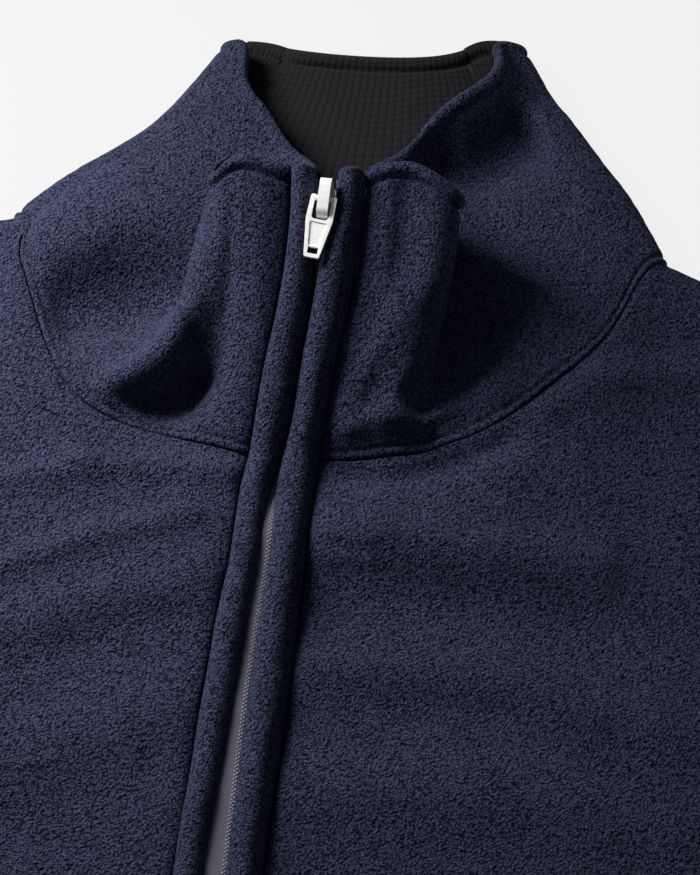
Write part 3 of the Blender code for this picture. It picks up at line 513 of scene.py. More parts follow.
def finished(name, mesh, material):
    """A mesh as a smooth object with its finish."""
    mesh.shade_smooth()
    mesh.materials.append(material)
    print(name, "has", sum(len(p.vertices) - 2 for p in mesh.polygons), "triangles")
    return add_object(name, mesh)


def make_skin(name, net, material, flat_map=None, keep=None, ring=False):
    """An object from a net of layout points: flat_map gives each point's place on the flat cloth in
    mm, keep says which cells of the net are cloth, and a ring is closed on itself."""
    rows, columns = net.shape[:2]
    cells = rows if ring else rows - 1
    a, b = np.meshgrid(np.arange(cells), np.arange(columns - 1), indexing="ij")
    kept = np.ones((cells, columns - 1), bool) if keep is None else keep
    a, b = a[kept], b[kept]
    index = np.arange(rows * columns).reshape(rows, columns)
    after = (a + 1) % rows
    faces = np.stack([index[a, b], index[a, b + 1], index[after, b + 1], index[after, b]], axis=1)
    mesh = bpy.data.meshes.new(name)
    mesh.vertices.add(rows * columns)
    mesh.vertices.foreach_set("co", in_scene(net.reshape(-1, 3)).ravel())
    mesh.loops.add(faces.size)
    mesh.loops.foreach_set("vertex_index", faces.ravel())
    mesh.polygons.add(len(faces))
    mesh.polygons.foreach_set("loop_start", np.arange(len(faces)) * 4)
    mesh.update(calc_edges=True)
    if flat_map is not None:
        layer = mesh.uv_layers.new(name="cloth")
        layer.uv.foreach_set("vector", (flat_map.reshape(-1, 2)[faces.ravel()] * MAP_SCALE).ravel())
    mesh.validate()
    return finished(name, mesh, material)


# %% [markdown]
# ## Seams, stitch lines and creases
#
# Three kinds of relief make cloth read as sewn. At a seam both edges roll down into it. A line of
# topstitching pulls the pile down in a soft narrow groove. A crease is a low ridge or trough that
# fades at both ends. Each is a small function of distance, and they simply add up.

# %% Kinds of relief
def rolled_edge(distance, radius):
    """How far cloth drops where its edge rolls into a seam."""
    inside = np.clip(radius - distance, 0, radius)
    return -(radius - np.sqrt(radius ** 2 - inside ** 2))


def stitched_groove(distance, from_edge, depth, half_width):
    """The groove that a line of topstitching pulls into the pile."""
    return -depth * bell(distance - from_edge, half_width)


def sewn_edge(distance, radius, valley, reach):
    """How cloth rolls over at an edge and sinks a little beside it."""
    return rolled_edge(distance, radius) - valley * bell(distance, reach)


def waves(places, table):
    """A sum of gentle waves along a seam, from a table of lengths, heights and phases."""
    return sum(tall * np.sin(2 * np.pi * places / length + phase) for length, tall, phase in table)


def stitched_band(distance, width, puff, depth):
    """A folded edge held by topstitching: puffed up to the stitches, and pulled down at them."""
    inside = np.clip(distance / width, 0, 1)
    return puff * np.sin(np.pi * inside) + stitched_groove(distance, width, depth, 0.85)


def lumps(net, height=0.14, size=2.6):
    """Lumps of the pile in mm, too large for the finish to draw, the same each time."""
    values = [noise.noise(Vector(point)) for point in net.reshape(-1, 3) / size]
    return np.reshape(values, net.shape[:2]) * height


drop = -rolled_edge(np.array([0.0, 0.5]), 1.0)
print("an edge of 1 mm radius drops", drop.round(2), "mm at 0 and 0.5 mm")

# %% [markdown]
# ## Fleece
#
# Fleece is a knit whose loops are torn open, brushed and sheared, then tumbled until the pile
# clumps into nubs about a millimetre across. Light catches the tips and hardly reaches the ground
# between them. Scattered nubs and two sizes of noise give the pile, and the same height drives the
# bump and the colour: the colour paints shade into the low ground between the nubs and paints light
# onto the tips, so part of the pile's shading is painted. A sheen lifts the pile where it is seen
# from the side.

# %% Node materials
class Finish:
    """A node material, with short words for the nodes that the finishes of this lesson use."""

    def __init__(self, name):
        self.material = bpy.data.materials.new(name)
        self.material.use_nodes = True
        self.tree = self.material.node_tree

    def node(self, kind, inputs=None, **settings):
        """A node whose inputs are plain values or the outputs of other nodes."""
        node = self.tree.nodes.new("ShaderNode" + kind)
        for key, value in settings.items():
            setattr(node, key, value)
        for socket, value in (inputs or {}).items():
            if isinstance(value, bpy.types.NodeSocket):
                self.tree.links.new(value, node.inputs[socket])
            else:
                node.inputs[socket].default_value = value
        return node

    def place(self, kind="Object"):
        """Where a point of the surface lies."""
        return self.node("TexCoord").outputs[kind]

    def noise(self, place, scale, detail, roughness, distortion=0.0):
        """Noise read at a place."""
        return self.node("TexNoise", {"Vector": place, "Scale": scale, "Detail": detail,
                                      "Roughness": roughness,
                                      "Distortion": distortion}).outputs["Fac"]

    def maths(self, operation, *values):
        """One operation on one value or two."""
        return self.node("Math", dict(enumerate(values)), operation=operation).outputs[0]

    def total(self, *parts):
        """The sum of some values, each with its share."""
        values = [value if share == 1 else self.maths("MULTIPLY", value, share)
                  for value, share in parts]
        result = values[0]
        for value in values[1:]:
            result = self.maths("ADD", result, value)
        return result

    def surface(self, height, depth, strength, stops, values, shade=None):
        """A bump and a colour ramp that follow a height, and plain values of the shader."""
        shader = self.tree.nodes["Principled BSDF"]
        bump = self.node("Bump", {"Height": height, "Strength": strength, "Distance": depth})
        ramp = self.node("ValToRGB", {"Fac": shade or height})
        elements = ramp.color_ramp.elements
        while len(elements) < len(stops):
            elements.new(0.5)
        for element, (place, colour) in zip(elements, stops):
            element.position = place
            element.color = (*colour, 1.0)
        self.tree.links.new(bump.outputs["Normal"], shader.inputs["Normal"])
        self.tree.links.new(ramp.outputs["Color"], shader.inputs["Base Color"])
        set_sockets(shader, values)
        print(self.material.name, "has", len(self.tree.nodes), "nodes")
        return self.material


# %% The navy fleece
NUB_SIZE = 0.00078       # metres across one nub of the pile
NUB_WANDER = 0.0005      # metres by which the nubs stray


def make_nubs(finish, place):
    """Rounded nubs: one minus the squared distance to scattered centres; the gaps get painted
    shade.
    """
    drift = finish.node("TexNoise", {"Vector": place, "Scale": 0.7 / NUB_SIZE, "Detail": 1.0})
    moved = finish.node("VectorMath", {0: drift.outputs["Color"], 1: (NUB_WANDER,) * 3, 2: place},
                        operation="MULTIPLY_ADD")
    cells = finish.node("TexVoronoi", {"Vector": moved.outputs[0], "Scale": 1.0 / NUB_SIZE})
    return finish.maths("SUBTRACT", 1.0, finish.maths("POWER", cells.outputs["Distance"], 2.0))


def make_fleece():
    """Navy fleece: nubs, the clumps that they gather in, single fibres and wide patches, with
    painted shade in the gaps and painted light on the tips.
    """
    finish = Finish("navy fleece")
    place = finish.place()
    nubs = make_nubs(finish, place)
    clumps = finish.noise(place, 760.0, 1.5, 0.5, 0.2)
    fibres = finish.noise(place, 2600.0, 1.5, 0.6, 0.4)
    patches = finish.noise(place, 60.0, 2.0, 0.5)
    pile = finish.total((nubs, 0.44), (clumps, 0.46), (fibres, 0.34))
    # The ramp paints shade into the low pile between the nubs and light onto the tips; the patches
    # vary the tone at random.
    stops = [(0.46, (0.0018, 0.0021, 0.0044)), (0.62, (0.0094, 0.0109, 0.0243)),
             (0.76, (0.0278, 0.0322, 0.0686)), (0.90, (0.0530, 0.0608, 0.1190))]
    return finish.surface(pile, 0.0028, 1.0, stops, {
        "Roughness": 0.95, "Specular IOR Level": 0.06, "Sheen Weight": 0.05,
        "Sheen Roughness": 0.45, "Sheen Tint": (0.55, 0.62, 1.0, 1.0)},
        shade=finish.total((pile, 1), (patches, 0.10)))


fleece = make_fleece()

# %% [markdown]
# ## The collar's shell
#
# The outer skin of the collar runs from the neck seam up to the top edge and rolls over it to
# meet the lining. A line of topstitching runs close above the neck seam, and another one five
# millimetres below the top edge.

# %% Nets of the collar
COLLAR_TALL = 82.0
BAND_REACH = 9.0         # height of the fine rows at the seam and at the top edge
BACK_STARTS, BACK_ENDS = 135.0, 290.0   # along the collar, where its points may lie further apart
BACK_DIP = 1.2           # how far the top edge is hollowed at the middle of the back


def cut_net(places, up):
    """The collar's net, with its top edge hollowed a little across the back."""
    net = collar_grid(places, up)
    share = np.clip((places - FOLD_EDGE_LEFT) / (FOLD_EDGE_RIGHT - FOLD_EDGE_LEFT), 0, 1)
    dip = BACK_DIP / COLLAR_TALL * np.sin(np.pi * share) ** 1.2
    return net + (net[:, :1] - net) * dip[:, None, None]


def outward(places, up):
    """Unit normals of the collar's outer face."""
    along = collar_grid(places + 0.3, up) - collar_grid(places - 0.3, up)
    rise = collar_grid(places, up + 0.003) - collar_grid(places, up - 0.003)
    return unit(np.cross(rise, along))


def collar_levels(step, edge_step):
    """Levels up the collar with close ones in both stitched bands, in shares of its height."""
    low = graded(EDGE_STEPS[-1], BAND_REACH, edge_step)[:-1]
    middle = graded(BAND_REACH, COLLAR_TALL - BAND_REACH, step)
    return np.concatenate([EDGE_STEPS[:-1], low, middle, COLLAR_TALL - low[::-1],
                           COLLAR_TALL - EDGE_STEPS[-2::-1]]) / COLLAR_TALL


def collar_places(step, back_step):
    """Places along the collar, sparser across the back."""
    left, right = graded(0.0, BACK_STARTS, step), graded(BACK_ENDS, LAST_PLACE, step)
    back = graded(BACK_STARTS, BACK_ENDS, back_step)[1:-1]
    return close_at_edges(np.concatenate([left, back, right]))


print("levels up the collar:", len(collar_levels(0.95, 0.55)))

# %% Creases of the collar
COLLAR_CREASES = [
    # points as (along the neck seam, up the collar) in mm, half width, height
    # left: the ridge that curls round the foot of the flap, the hollow inside it, the flap's own
    # waves, and the crest and the fold on the shoulder
    (((37, 34), (36.5, 20), (37, 12), (38.5, 6)), 4.5, 3),
    (((34, 80), (34, 62), (33, 52)), 9, -2.6),
    (((23, 27), (26, 17), (29, 10)), 4.5, -4),
    (((23, 72), (19, 44)), 3.5, -0.8),
    (((9, 74), (7, 42)), 3.5, 0.6),
    (((103, 6), (98, 20), (92, 34), (86, 46)), 14, 4.2),
    (((78, 0), (71, 18), (60, 33)), 16, -8.5),
    # right: the rolled arm and the trough under it, the flap's waves, the folds at its foot
    (((326, 65), (346, 64), (356, 71)), 8, -8),
    (((303, 66), (318, 65)), 6, -2.6),
    (((312, 80), (355, 80)), 4, 1.4),
    (((428, 75), (427, 56)), 2.5, -0.9),
    (((433, 76), (430, 51)), 3, 0.6),
    (((421, 76), (418, 51)), 3.5, 0.7),
    (((422, 52), (427, 37), (433, 20)), 5, 1.8),
    (((432, 11), (415, 17), (390, 8), (370, 4)), 5.5, 2.4),
    (((411, 26), (407, 20)), 4, -1.5),
    (((430, 0), (375, 0), (310, 2)), 6, -1.2),
]


def collar_folds(places, up):
    """Creases through the collar's whole wall, in mm off its face. They end at the neck seam."""
    along, rise = np.meshgrid(places, up * COLLAR_TALL, indexing="ij")
    return creases(along, rise, COLLAR_CREASES) * (1 - bell(rise, 6.0))


print("creases of the collar:", len(COLLAR_CREASES))

# %% Collar shell
SEAM_BAND, TOP_BAND = 2.7, 5.4  # from an edge to its topstitching
TOP_RADIUS = 1.7
TOP_TURNS = (1.75, 2.05)        # depths at which the shell ends inside its rolled top edge
NECK_EDGE = (0.4, 0.5, 3.0)     # radius of an edge, depth and reach of the valley beside it
ZIP_EDGE = (1.4, 1.0, 2.6)
TUCK = (2.6, 2.4)        # how far an edge beside the zip turns in and down under its roll


def tuck_under(skin, out, edge, inside):
    """How far a row of edge points turns down under the roll beside it."""
    return unit(skin[edge] - skin[inside]) * TUCK[0] - out[edge] * TUCK[1]


def with_rows(before, skin, after):
    """A skin with more rows before its first and after its last."""
    return np.concatenate([row[:, None] for row in before] + [skin]
                          + [row[:, None] for row in after], axis=1)


def make_collar_shell():
    """The collar's outer skin, rolled over its top edge."""
    places, up = collar_places(0.85, 2.2), collar_levels(0.95, 0.55)
    net, out = cut_net(places, up), outward(places, up)
    (from_seam, to_top), (across, back) = run_lengths(net, 1), run_lengths(net, 0)
    to_zip = np.minimum(across, back)
    flap = np.clip(1.3 - to_zip / 90.0, 0.45, 1.0)      # the back's top band is less puffed
    relief = sewn_edge(from_seam, *NECK_EDGE) + rolled_edge(to_top, TOP_RADIUS)
    relief += sewn_edge(to_zip, *ZIP_EDGE)
    relief += stitched_band(from_seam, SEAM_BAND, 0.4, 0.6)
    relief += stitched_band(to_top, TOP_BAND, 1.2, 1.0) * flap
    relief += collar_folds(places, up) + lumps(net)
    relief += 0.22 * np.sin(across / 9.0) * np.sin(from_seam / 13.0 + 1.3)
    skin = net + out * relief[..., None]
    for edge, inside in ((0, 4), (-1, -5)):
        skin[edge] += tuck_under(skin, out, edge, inside)
    turned = [net[:, -1] - out[:, -1] * depth for depth in TOP_TURNS]
    skin = with_rows([skin[:, 0] - out[:, 0] * 1.6], skin, turned)
    return make_skin("collar_shell", skin, fleece)


collar_shell = make_collar_shell()

# %% [markdown]
# ## The collar's lining
#
# Inside, the collar is faced with a thin charcoal knit whose stitches make a small square grid,
# with painted shade in the grid's sunk lines.
# It takes the wear at the neck and keeps the pile off the chin. It is the same surface moved
# inward by the thickness of the wall, and it rolls up to meet the fleece at the top edge.

# %% Lining material
def make_knit():
    """Charcoal waffle knit, drawn on the flat cloth in cells of about three millimetres, with
    painted shade in the sunk lines between the cells.
    """
    finish = Finish("charcoal knit")
    flat = finish.node("SeparateXYZ", {"Vector": finish.place("UV")})
    ribs = []
    for axis, cell in (("X", 3.0), ("Y", 2.6)):
        turns = finish.maths("MULTIPLY", flat.outputs[axis], math.pi / (MAP_SCALE * cell))
        wave = finish.maths("ABSOLUTE", finish.maths("SINE", turns))
        ribs.append(finish.maths("POWER", wave, 0.30))
    yarn = finish.noise(finish.place(), 2200.0, 2.0, 0.6)
    height = finish.total((finish.maths("MULTIPLY", *ribs), 1), (yarn, 0.5))
    # Colour from the height: painted shade darkens the sunk lines of the grid.
    stops = [(0.25, (0.0068, 0.0062, 0.0074)), (0.70, (0.0120, 0.0109, 0.0129)),
             (1.0, (0.0140, 0.0127, 0.0150))]
    return finish.surface(height, 0.0005, 0.6, stops, {
        "Roughness": 0.85, "Specular IOR Level": 0.05, "Sheen Weight": 0.02})


knit = make_knit()

# %% Collar lining
LINING_INSET = 2.0       # how far the lining ends short of the zip's edges
LINING_BAND = 6.0        # from its top edge to the topstitching
LINING_TURNS = (2.5, 2.1)       # depths of its last rows, which meet the shell


def make_collar_lining():
    """The knit inside the collar, with a stitched band along its top edge."""
    places = close_at_edges(graded(LINING_INSET, LAST_PLACE - LINING_INSET, 1.6))
    up = collar_levels(1.3, 0.6)
    net, out = cut_net(places, up), outward(places, up)
    from_seam, to_top = run_lengths(net, 1)
    relief = rolled_edge(to_top, 1.4) + rolled_edge(from_seam, 0.8)
    relief += stitched_band(to_top, LINING_BAND, 0.8, 1.0) - collar_folds(places, up)
    turned = [net[:, -1] - out[:, -1] * depth for depth in LINING_TURNS]
    skin = with_rows([], net - out * (WALL + relief)[..., None], turned)
    rise = np.append(up * COLLAR_TALL, [COLLAR_TALL + 1.5, COLLAR_TALL + 2.0])
    flat = np.stack(np.meshgrid(places, rise, indexing="ij"), axis=2)
    return make_skin("lining", skin[::-1], knit, flat[::-1])


lining = make_collar_lining()

# %% [markdown]
# ## Front and back
#
# The front is one piece, slit down the middle for the zip. Its net runs from the shoulder and neck
# seams down to the hem, fine near the collar and coarser below. Its hem and those of the back are
# turned in and held by a double line of stitches.

# %% Edges beside the zip
# Across the body: the edges of the two rolled strips beside the zip, at stations down the body.
# The outer ones are also the edges of the cloth beside them.
BODY_ZIP = np.array([
    # y, left out, left in, right in, right out
    (-338, -10.0, 0.6, 2.2, 13.2),
    (-222, -10.4, -1.0, 4.0, 14.2),
    (-166, -10.4, 0.0, 2.4, 14.0),
    (-146, -10.2, 0.3, 2.3, 13.7),
    (-126, -8.8, 0.9, 2.6, 13.4),
    (-100, -9.0, 0.4, 1.8, 12.7),
    (-86, -8.3, 1.5, 1.9, 12.5),
])


def zip_edge_x(side, y):
    """How far across the body the cloth's edge beside the zip lies."""
    return np.interp(y, BODY_ZIP[:, 0], BODY_ZIP[:, 1 if side < 0 else 4])


slit_width = zip_edge_x(1, -200) - zip_edge_x(-1, -200)
print("the two edges lie", round(slit_width, 1), "mm apart at the chest")

# %% Nets of the body panels
SHOULDER_LONG = 154.0
CHEST_ENDS = 230.0       # down from the shoulders, where the rows may lie further apart
BODY_STEPS = np.concatenate([
    EDGE_STEPS[:-1], graded(EDGE_STEPS[-1], CHEST_ENDS, 1.25)[:-1],
    graded(CHEST_ENDS, BODY_LENGTH - 2.0, 2.2, 1.035, 7.0),
    BODY_LENGTH - np.array([1.2, 0.7, 0.3, 0.0])])
DOWN = np.sort(np.append(BODY_STEPS / BODY_LENGTH, [UNDERARM_SHARE, ZIP_SHARE]))
ON_ARM = DOWN < UNDERARM_SHARE + 1e-9
ON_ZIP = DOWN < ZIP_SHARE + 1e-9
SHOULDER_SHARES = 1 - graded(1.2, SHOULDER_LONG, 1.5, 1.08, 6.0)[::-1] / SHOULDER_LONG
SHOULDER_SHARES = np.concatenate([[0.0, 0.0016, 0.004, 0.008],
                                  SHOULDER_SHARES[SHOULDER_SHARES > 0.012]])
SHOULDER_COUNT = len(SHOULDER_SHARES)


def patch(top, bottom, left, right):
    """Points that fill four borders: top and bottom run across, left and right run down."""
    across = line_lengths(top)
    s = (across / across[-1])[:, None, None]
    t = DOWN[None, :, None]
    fill = (1 - t) * top[:, None] + t * (bottom[0] + (bottom[1] - bottom[0]) * s)
    fill += (1 - s) * (left[None] - (1 - t) * left[0] - t * left[-1])
    return fill + s * (right[None] - (1 - t) * right[0] - t * right[-1])


def side_line(side):
    """Outer border of the body from the shoulder tip down the armhole and the side seam."""
    underarm, hem = body_corners(side)[2:]
    part = ((DOWN[~ON_ARM] - UNDERARM_SHARE) / (1 - UNDERARM_SHARE))[:, None]
    on_arm = armhole(side, DOWN[ON_ARM] / UNDERARM_SHARE)
    return np.concatenate([on_arm, underarm * (1 - part) + hem * part])


def shoulder_line(side, neck_point):
    """Points of the shoulder seam from its tip to just before the neck."""
    share = SHOULDER_SHARES[:, None]
    return body_corners(side)[1] * (1 - share) + neck_point * share


def slit_line(side, start):
    """Edge of the front beside the zip, from the neck seam down to the hem."""
    y = start[1] + DOWN * (HEM_Y - start[1])
    x = zip_edge_x(side, y)
    x[0] = start[0]
    return np.stack([x, y], axis=1)


print("rows down the body:", len(DOWN), "and points along each shoulder:", SHOULDER_COUNT)

# %% Hems
HEM_LINES = (20.0, 23.5)         # of stitches, from the hem's edge
HEM_GROOVE = (0.4, 0.7)          # depth and half width of a line of stitches
HEM_DEPTH = 26.0                 # how far a hem is turned in
HEM_RADIUS = 1.2
SIDE_RADIUS = 0.9                # of the seams at the sides, the shoulders and the armholes


def hem_stitches(to_hem):
    """The double line of stitches along a hem."""
    return sum(stitched_groove(to_hem, line, *HEM_GROOVE) for line in HEM_LINES)


def hem_turns(net, out):
    """Rows that carry a hem round its edge and back inside."""
    down = unit(net[:, -1] - net[:, -20]) * [1, 1, 0]
    edge = net[:, -1] - out[:, -1] * HEM_RADIUS
    inner = edge - out[:, -1] * (FLEECE - 1.3) + down * 0.1     # the side that lies inside
    return [edge + down * 0.5 - out[:, -1] * 0.3, inner, inner - down * HEM_DEPTH]


print("a hem has", len(HEM_LINES), "lines of stitches and is turned in by", HEM_DEPTH, "mm")

# %% Net of the front
def eased(net, corner, spread=26.0, rounds=240):
    """A net whose columns turn gently past a corner of its top edge, which itself stays put."""
    columns = bell(np.arange(len(net)) - corner, spread)
    amount = 0.5 * columns[:, None, None] * np.clip(run_lengths(net, 1)[0] / 7.0, 0, 1)[..., None]
    for _ in range(rounds):
        net[1:-1] += ((net[:-2] + net[2:]) / 2 - net[1:-1]) * amount[1:-1]
    return net


def front_net():
    """The front's net from its left side to its right side, and its first column past the slit."""
    halves = []
    for side in (-1, 1):
        ends = (0.0, FOLD_EDGE_LEFT) if side < 0 else (FOLD_EDGE_RIGHT, LAST_PLACE)
        seam = seam_line(close_at_edges(graded(*ends, 1.1))[::side])
        top = np.concatenate([shoulder_line(side, seam[0, :2]), seam[:, :2]])
        slit = slit_line(side, seam[-1, :2])
        plan = patch(top, (body_corners(side)[3], slit[-1]), side_line(side), slit)
        lift = seam_lift(plan, seam[:, 2], SHOULDER_COUNT, True)
        halves.append(eased(raised(plan, rest_height(plan, True) + lift), SHOULDER_COUNT))
    return np.concatenate([halves[0], halves[1][::-1]]), len(halves[0])


front_cloth, after_slit_column = front_net()
print("the front's net has", front_cloth.shape[:2], "points across and down")

# %% Front
CHEST_CREASES = [
    # points in layout mm, half width, height: low folds that run across from the zip
    (((18, -87), (37, -87), (51, -81), (65, -71)), 6, -2.6),
    (((19, -111), (63, -111), (98, -110)), 9, 2.8),
    (((22, -154), (73, -153), (130, -163)), 9, 2.8),
    (((22, -132), (71, -130), (129, -130)), 9, -1.4),
    (((-79, -103), (-52, -95), (-13, -93)), 5, 2),
    (((-74, -132), (-48, -119), (-23, -110)), 4.5, 1.8),
    (((-70, -153), (-44, -140), (-16, -130)), 9, 2.8),
    (((18, -112), (31, -113)), 2.5, 0.6),
    (((18, -119), (31, -119)), 2.5, 0.6),
    (((78, -59), (93, -47), (122, -39)), 6, 1.6),
    (((21, -193), (77, -190), (130, -192)), 12, 1.6),
    (((-63, -194), (-32, -181), (-14, -169)), 12, 1.8),
]


def all_kept(skin):
    """A table of a skin's cells in which every cell is cloth."""
    return np.ones((len(skin) - 1, skin.shape[1] - 1), bool)


def make_front(net, after_slit):
    """The front's skin."""
    out = net_normals(net)
    from_top, to_hem = run_lengths(net, 1)
    x, y = net[..., 0], net[..., 1]
    relief = sewn_edge(from_top, *NECK_EDGE) + rolled_edge(to_hem, HEM_RADIUS) + lumps(net)
    relief += hem_stitches(to_hem) + creases(x, y, CHEST_CREASES) * (1 - bell(from_top, 5.0))
    relief += 0.35 * np.sin(x / 23.0 + y / 41.0) * np.sin(y / 29.0 - x / 57.0 + 0.7)
    for half in (slice(0, after_slit), slice(after_slit, None)):
        to_side, to_slit = run_lengths(net[half], 0)[::1 if half.start == 0 else -1]
        relief[half] += sewn_edge(to_slit, *ZIP_EDGE) * ON_ZIP + rolled_edge(to_side, SIDE_RADIUS)
    skin = net + out * relief[..., None]
    for edge, inside in ((after_slit - 1, after_slit - 5), (after_slit, after_slit + 4)):
        skin[edge] += tuck_under(skin, out, edge, inside) * ON_ZIP[:, None]
    # A narrow ledge reaches in under the collar, so that no light shows through the neck seam.
    at_neck = np.zeros((len(skin), 1))
    at_neck[SHOULDER_COUNT + 9:-SHOULDER_COUNT - 9] = 1.0
    ledge = skin[:, 0] + unit(net[:, 0] - net[:, 3]) * at_neck - [0, 0, 0.3]
    skin = with_rows([ledge - [0, 0, 1.8], ledge], skin, hem_turns(skin, out))
    keep = all_kept(skin)
    keep[after_slit - 1, :2] = False
    keep[after_slit - 1, 2:len(DOWN) + 1] = ~ON_ZIP[1:]
    return make_skin("front_skin", skin, fleece, keep=keep)


front_skin = make_front(front_cloth, after_slit_column)

# %% Back
def make_back():
    """The back's skin, flat where it lies on the table."""
    seam = seam_line(close_at_edges(graded(FOLD_EDGE_LEFT, FOLD_EDGE_RIGHT, 3.0)))
    shoulders = shoulder_line(-1, seam[0, :2]), shoulder_line(1, seam[-1, :2])[::-1]
    top = np.concatenate([shoulders[0], seam[:, :2], shoulders[1]])
    plan = patch(top, [body_corners(side)[3] for side in (-1, 1)], side_line(-1), side_line(1))
    lift = seam_lift(plan, np.maximum(seam[:, 2] - EDGE_GAP, 0), SHOULDER_COUNT, False)
    net = raised(plan, rest_height(plan, False) + lift)
    skin = net - raised(plan * 0, hem_stitches(run_lengths(net, 1)[1]))
    allowance = skin[:, 0] + unit(net[:, 0] - net[:, 3]) * 4.0
    skin = with_rows([allowance], skin, hem_turns(skin, -net_normals(net)))
    keep = all_kept(skin)
    shoulder = SHOULDER_COUNT + 5
    keep[:shoulder, 0] = keep[-shoulder:, 0] = False
    return make_skin("back_skin", skin[::-1], fleece, keep=keep)


back_skin = make_back()

# %% [markdown]
# ## Sleeves
#
# A sleeve is a tube that lies flat. Its net runs round the tube in one direction and from the
# armhole to the cuff in the other. Real sleeves keep the memory of an arm: wrinkles gather inside
# the elbow and under the armhole.

# %% Wrinkles and cuffs
SLEEVE_CREASES = [
    # start and end as (share of the length, share from upper to lower edge), half width, height
    ((0.04, 0.30), (0.20, 0.75), 13.0, 1.6),
    ((0.10, 0.95), (0.24, 0.45), 11.0, 1.3),
    ((0.40, 0.15), (0.50, 0.80), 12.0, 1.8),
    ((0.47, 0.98), (0.53, 0.35), 10.0, -1.1),
    ((0.55, 0.10), (0.60, 0.85), 11.0, 1.4),
    ((0.76, 0.20), (0.82, 0.90), 10.0, 0.9),
]
SLEEVE_LENGTH = 620.0    # shoulder tip to cuff
SLEEVE_ANGLE = 40.0      # degrees that the sleeve turns out from straight down
CUFF_WIDTH = 100.0
ARMHOLE_LONG = 244.0
ARMHOLE_ALLOWANCE = 3.5  # how far a sleeve reaches in under the body's edge


def cuff_ends(side):
    """The two ends of a cuff: above the arm and under it."""
    turn = math.radians(SLEEVE_ANGLE)
    run = np.array([side * math.sin(turn), -math.cos(turn)])
    top = body_corners(side)[1] + run * SLEEVE_LENGTH
    return top, top + np.array([-side * math.cos(turn), -math.sin(turn)]) * CUFF_WIDTH


print("the left cuff runs from", cuff_ends(-1)[0].round(), "to", cuff_ends(-1)[1].round())

# %% Sleeves
def make_sleeve(side, name):
    """A flattened tube with a rolled seam at the armhole and a turned cuff."""
    shares = close_at_edges(graded(0.0, ARMHOLE_LONG, 3.2)) / ARMHOLE_LONG
    cuff_top, cuff_low = cuff_ends(side)
    start = armhole(side, shares) + [side * SEAM_GAP, 0.0]
    end = cuff_top + (cuff_low - cuff_top) * shares[:, None]
    along = close_at_edges(graded(0.0, SLEEVE_LENGTH, 3.4))[:, None, None] / SLEEVE_LENGTH
    plan = start[None] * (1 - along) + end[None] * along
    x, y = plan[..., 0], plan[..., 1]
    distance = edge_distance(x, y, [(start[0], cuff_top), (start[-1], cuff_low)])

    def spot(share_along, share_across):
        """A point of the sleeve in plan."""
        first = start[0] + (start[-1] - start[0]) * share_across
        last = cuff_top + (cuff_low - cuff_top) * share_across
        return first + (last - first) * share_along

    folds = [((spot(*a), spot(*b)), wide, tall) for a, b, wide, tall in SLEEVE_CREASES]
    wrinkles = creases(x, y, folds) * rounding(distance / 6)
    over = raised(plan, top_height(x, y, distance) + wrinkles)
    below = raised(plan, EDGE_HEIGHT * (1 - rounding(distance)))[:, -2:0:-1]
    net = np.concatenate([over, below], axis=1).transpose(1, 0, 2)
    round_arm = (np.roll(net, -1, axis=0) - np.roll(net, 1, axis=0)) * -side
    out = unit(np.cross(np.gradient(net, axis=1), round_arm))
    outward_share = ((net - net.mean(axis=0, keepdims=True)) * out).sum(axis=2, keepdims=True)
    out = np.where(outward_share < 0, -out, out)
    from_armhole, to_cuff = run_lengths(net, 1)
    relief = rolled_edge(from_armhole, SIDE_RADIUS) + rolled_edge(to_cuff, HEM_RADIUS)
    relief += hem_stitches(to_cuff)
    lying = slice(over.shape[1], None)
    relief[lying] = np.minimum(relief[lying], 0)
    skin = net + out * relief[..., None]
    from_fold = np.append(distance[0], distance[0, -2:0:-1])[:, None]
    allowance = unit(net[:, 0] - net[:, 6]) * ARMHOLE_ALLOWANCE * np.clip(from_fold / 8.0, 0, 1)
    turned = skin[:, 0] - out[:, 0] * 1.2
    skin = with_rows([turned + allowance, turned + allowance * 0.15], skin, hem_turns(skin, out))
    skin[..., 2] = np.maximum(skin[..., 2], 0.0)
    return make_skin(name, skin[::side], fleece, ring=True)


sleeves = [make_sleeve(-1, "sleeve_skin_left"), make_sleeve(1, "sleeve_skin_right")]

# %% [markdown]
# ## The rolled strips beside the zip
#
# Each edge of the opening is bound with a strip of the same fleece, folded over and stitched, which
# makes a soft roll about ten millimetres wide that half hides the zip. The roll's section is
# swept up the opening, over the neck seam and up the collar, and closed at its top.

# %% Lines of the zip
# The inner edges of the two strips at levels up the collar, whose own rows give the outer ones.
COLLAR_ZIP = np.array([
    # level, left in, right in
    (0.0, 1.5, 1.9), (0.20, 3.4, 3.8), (0.40, 4.3, 4.7), (0.58, 5.4, 5.8),
    (0.70, 4.2, 6.8), (0.80, 2.6, 8.2), (0.88, 2.2, 9.0), (1.0, 1.4, 8.0),
])
COLLAR_STATIONS = np.linspace(0, 1, 76)
BODY_STATIONS = 232


def zip_edge_line(side):
    """Cloth edge beside the zip, up the body and up the collar, with a point each 1.1 mm."""
    place = [0.0 if side < 0 else LAST_PLACE]
    seam = seam_line(place)
    y = np.linspace(ZIP_END_Y + 0.6, seam[0, 1], BODY_STATIONS)[:-1]
    x = zip_edge_x(side, y)
    x[-1] += (seam[0, 0] - x[-1]) * 0.5
    plan = np.stack([x, y], axis=1)
    lift = (seam[:, 2] - rest_height(seam[:, :2], True)) * bell(seam[0, 1] - y, FRONT_SLOPE)
    on_body = raised(plan, rest_height(plan, True) + lift)
    return np.concatenate([on_body, collar_grid(place, COLLAR_STATIONS)[0, 1:]])


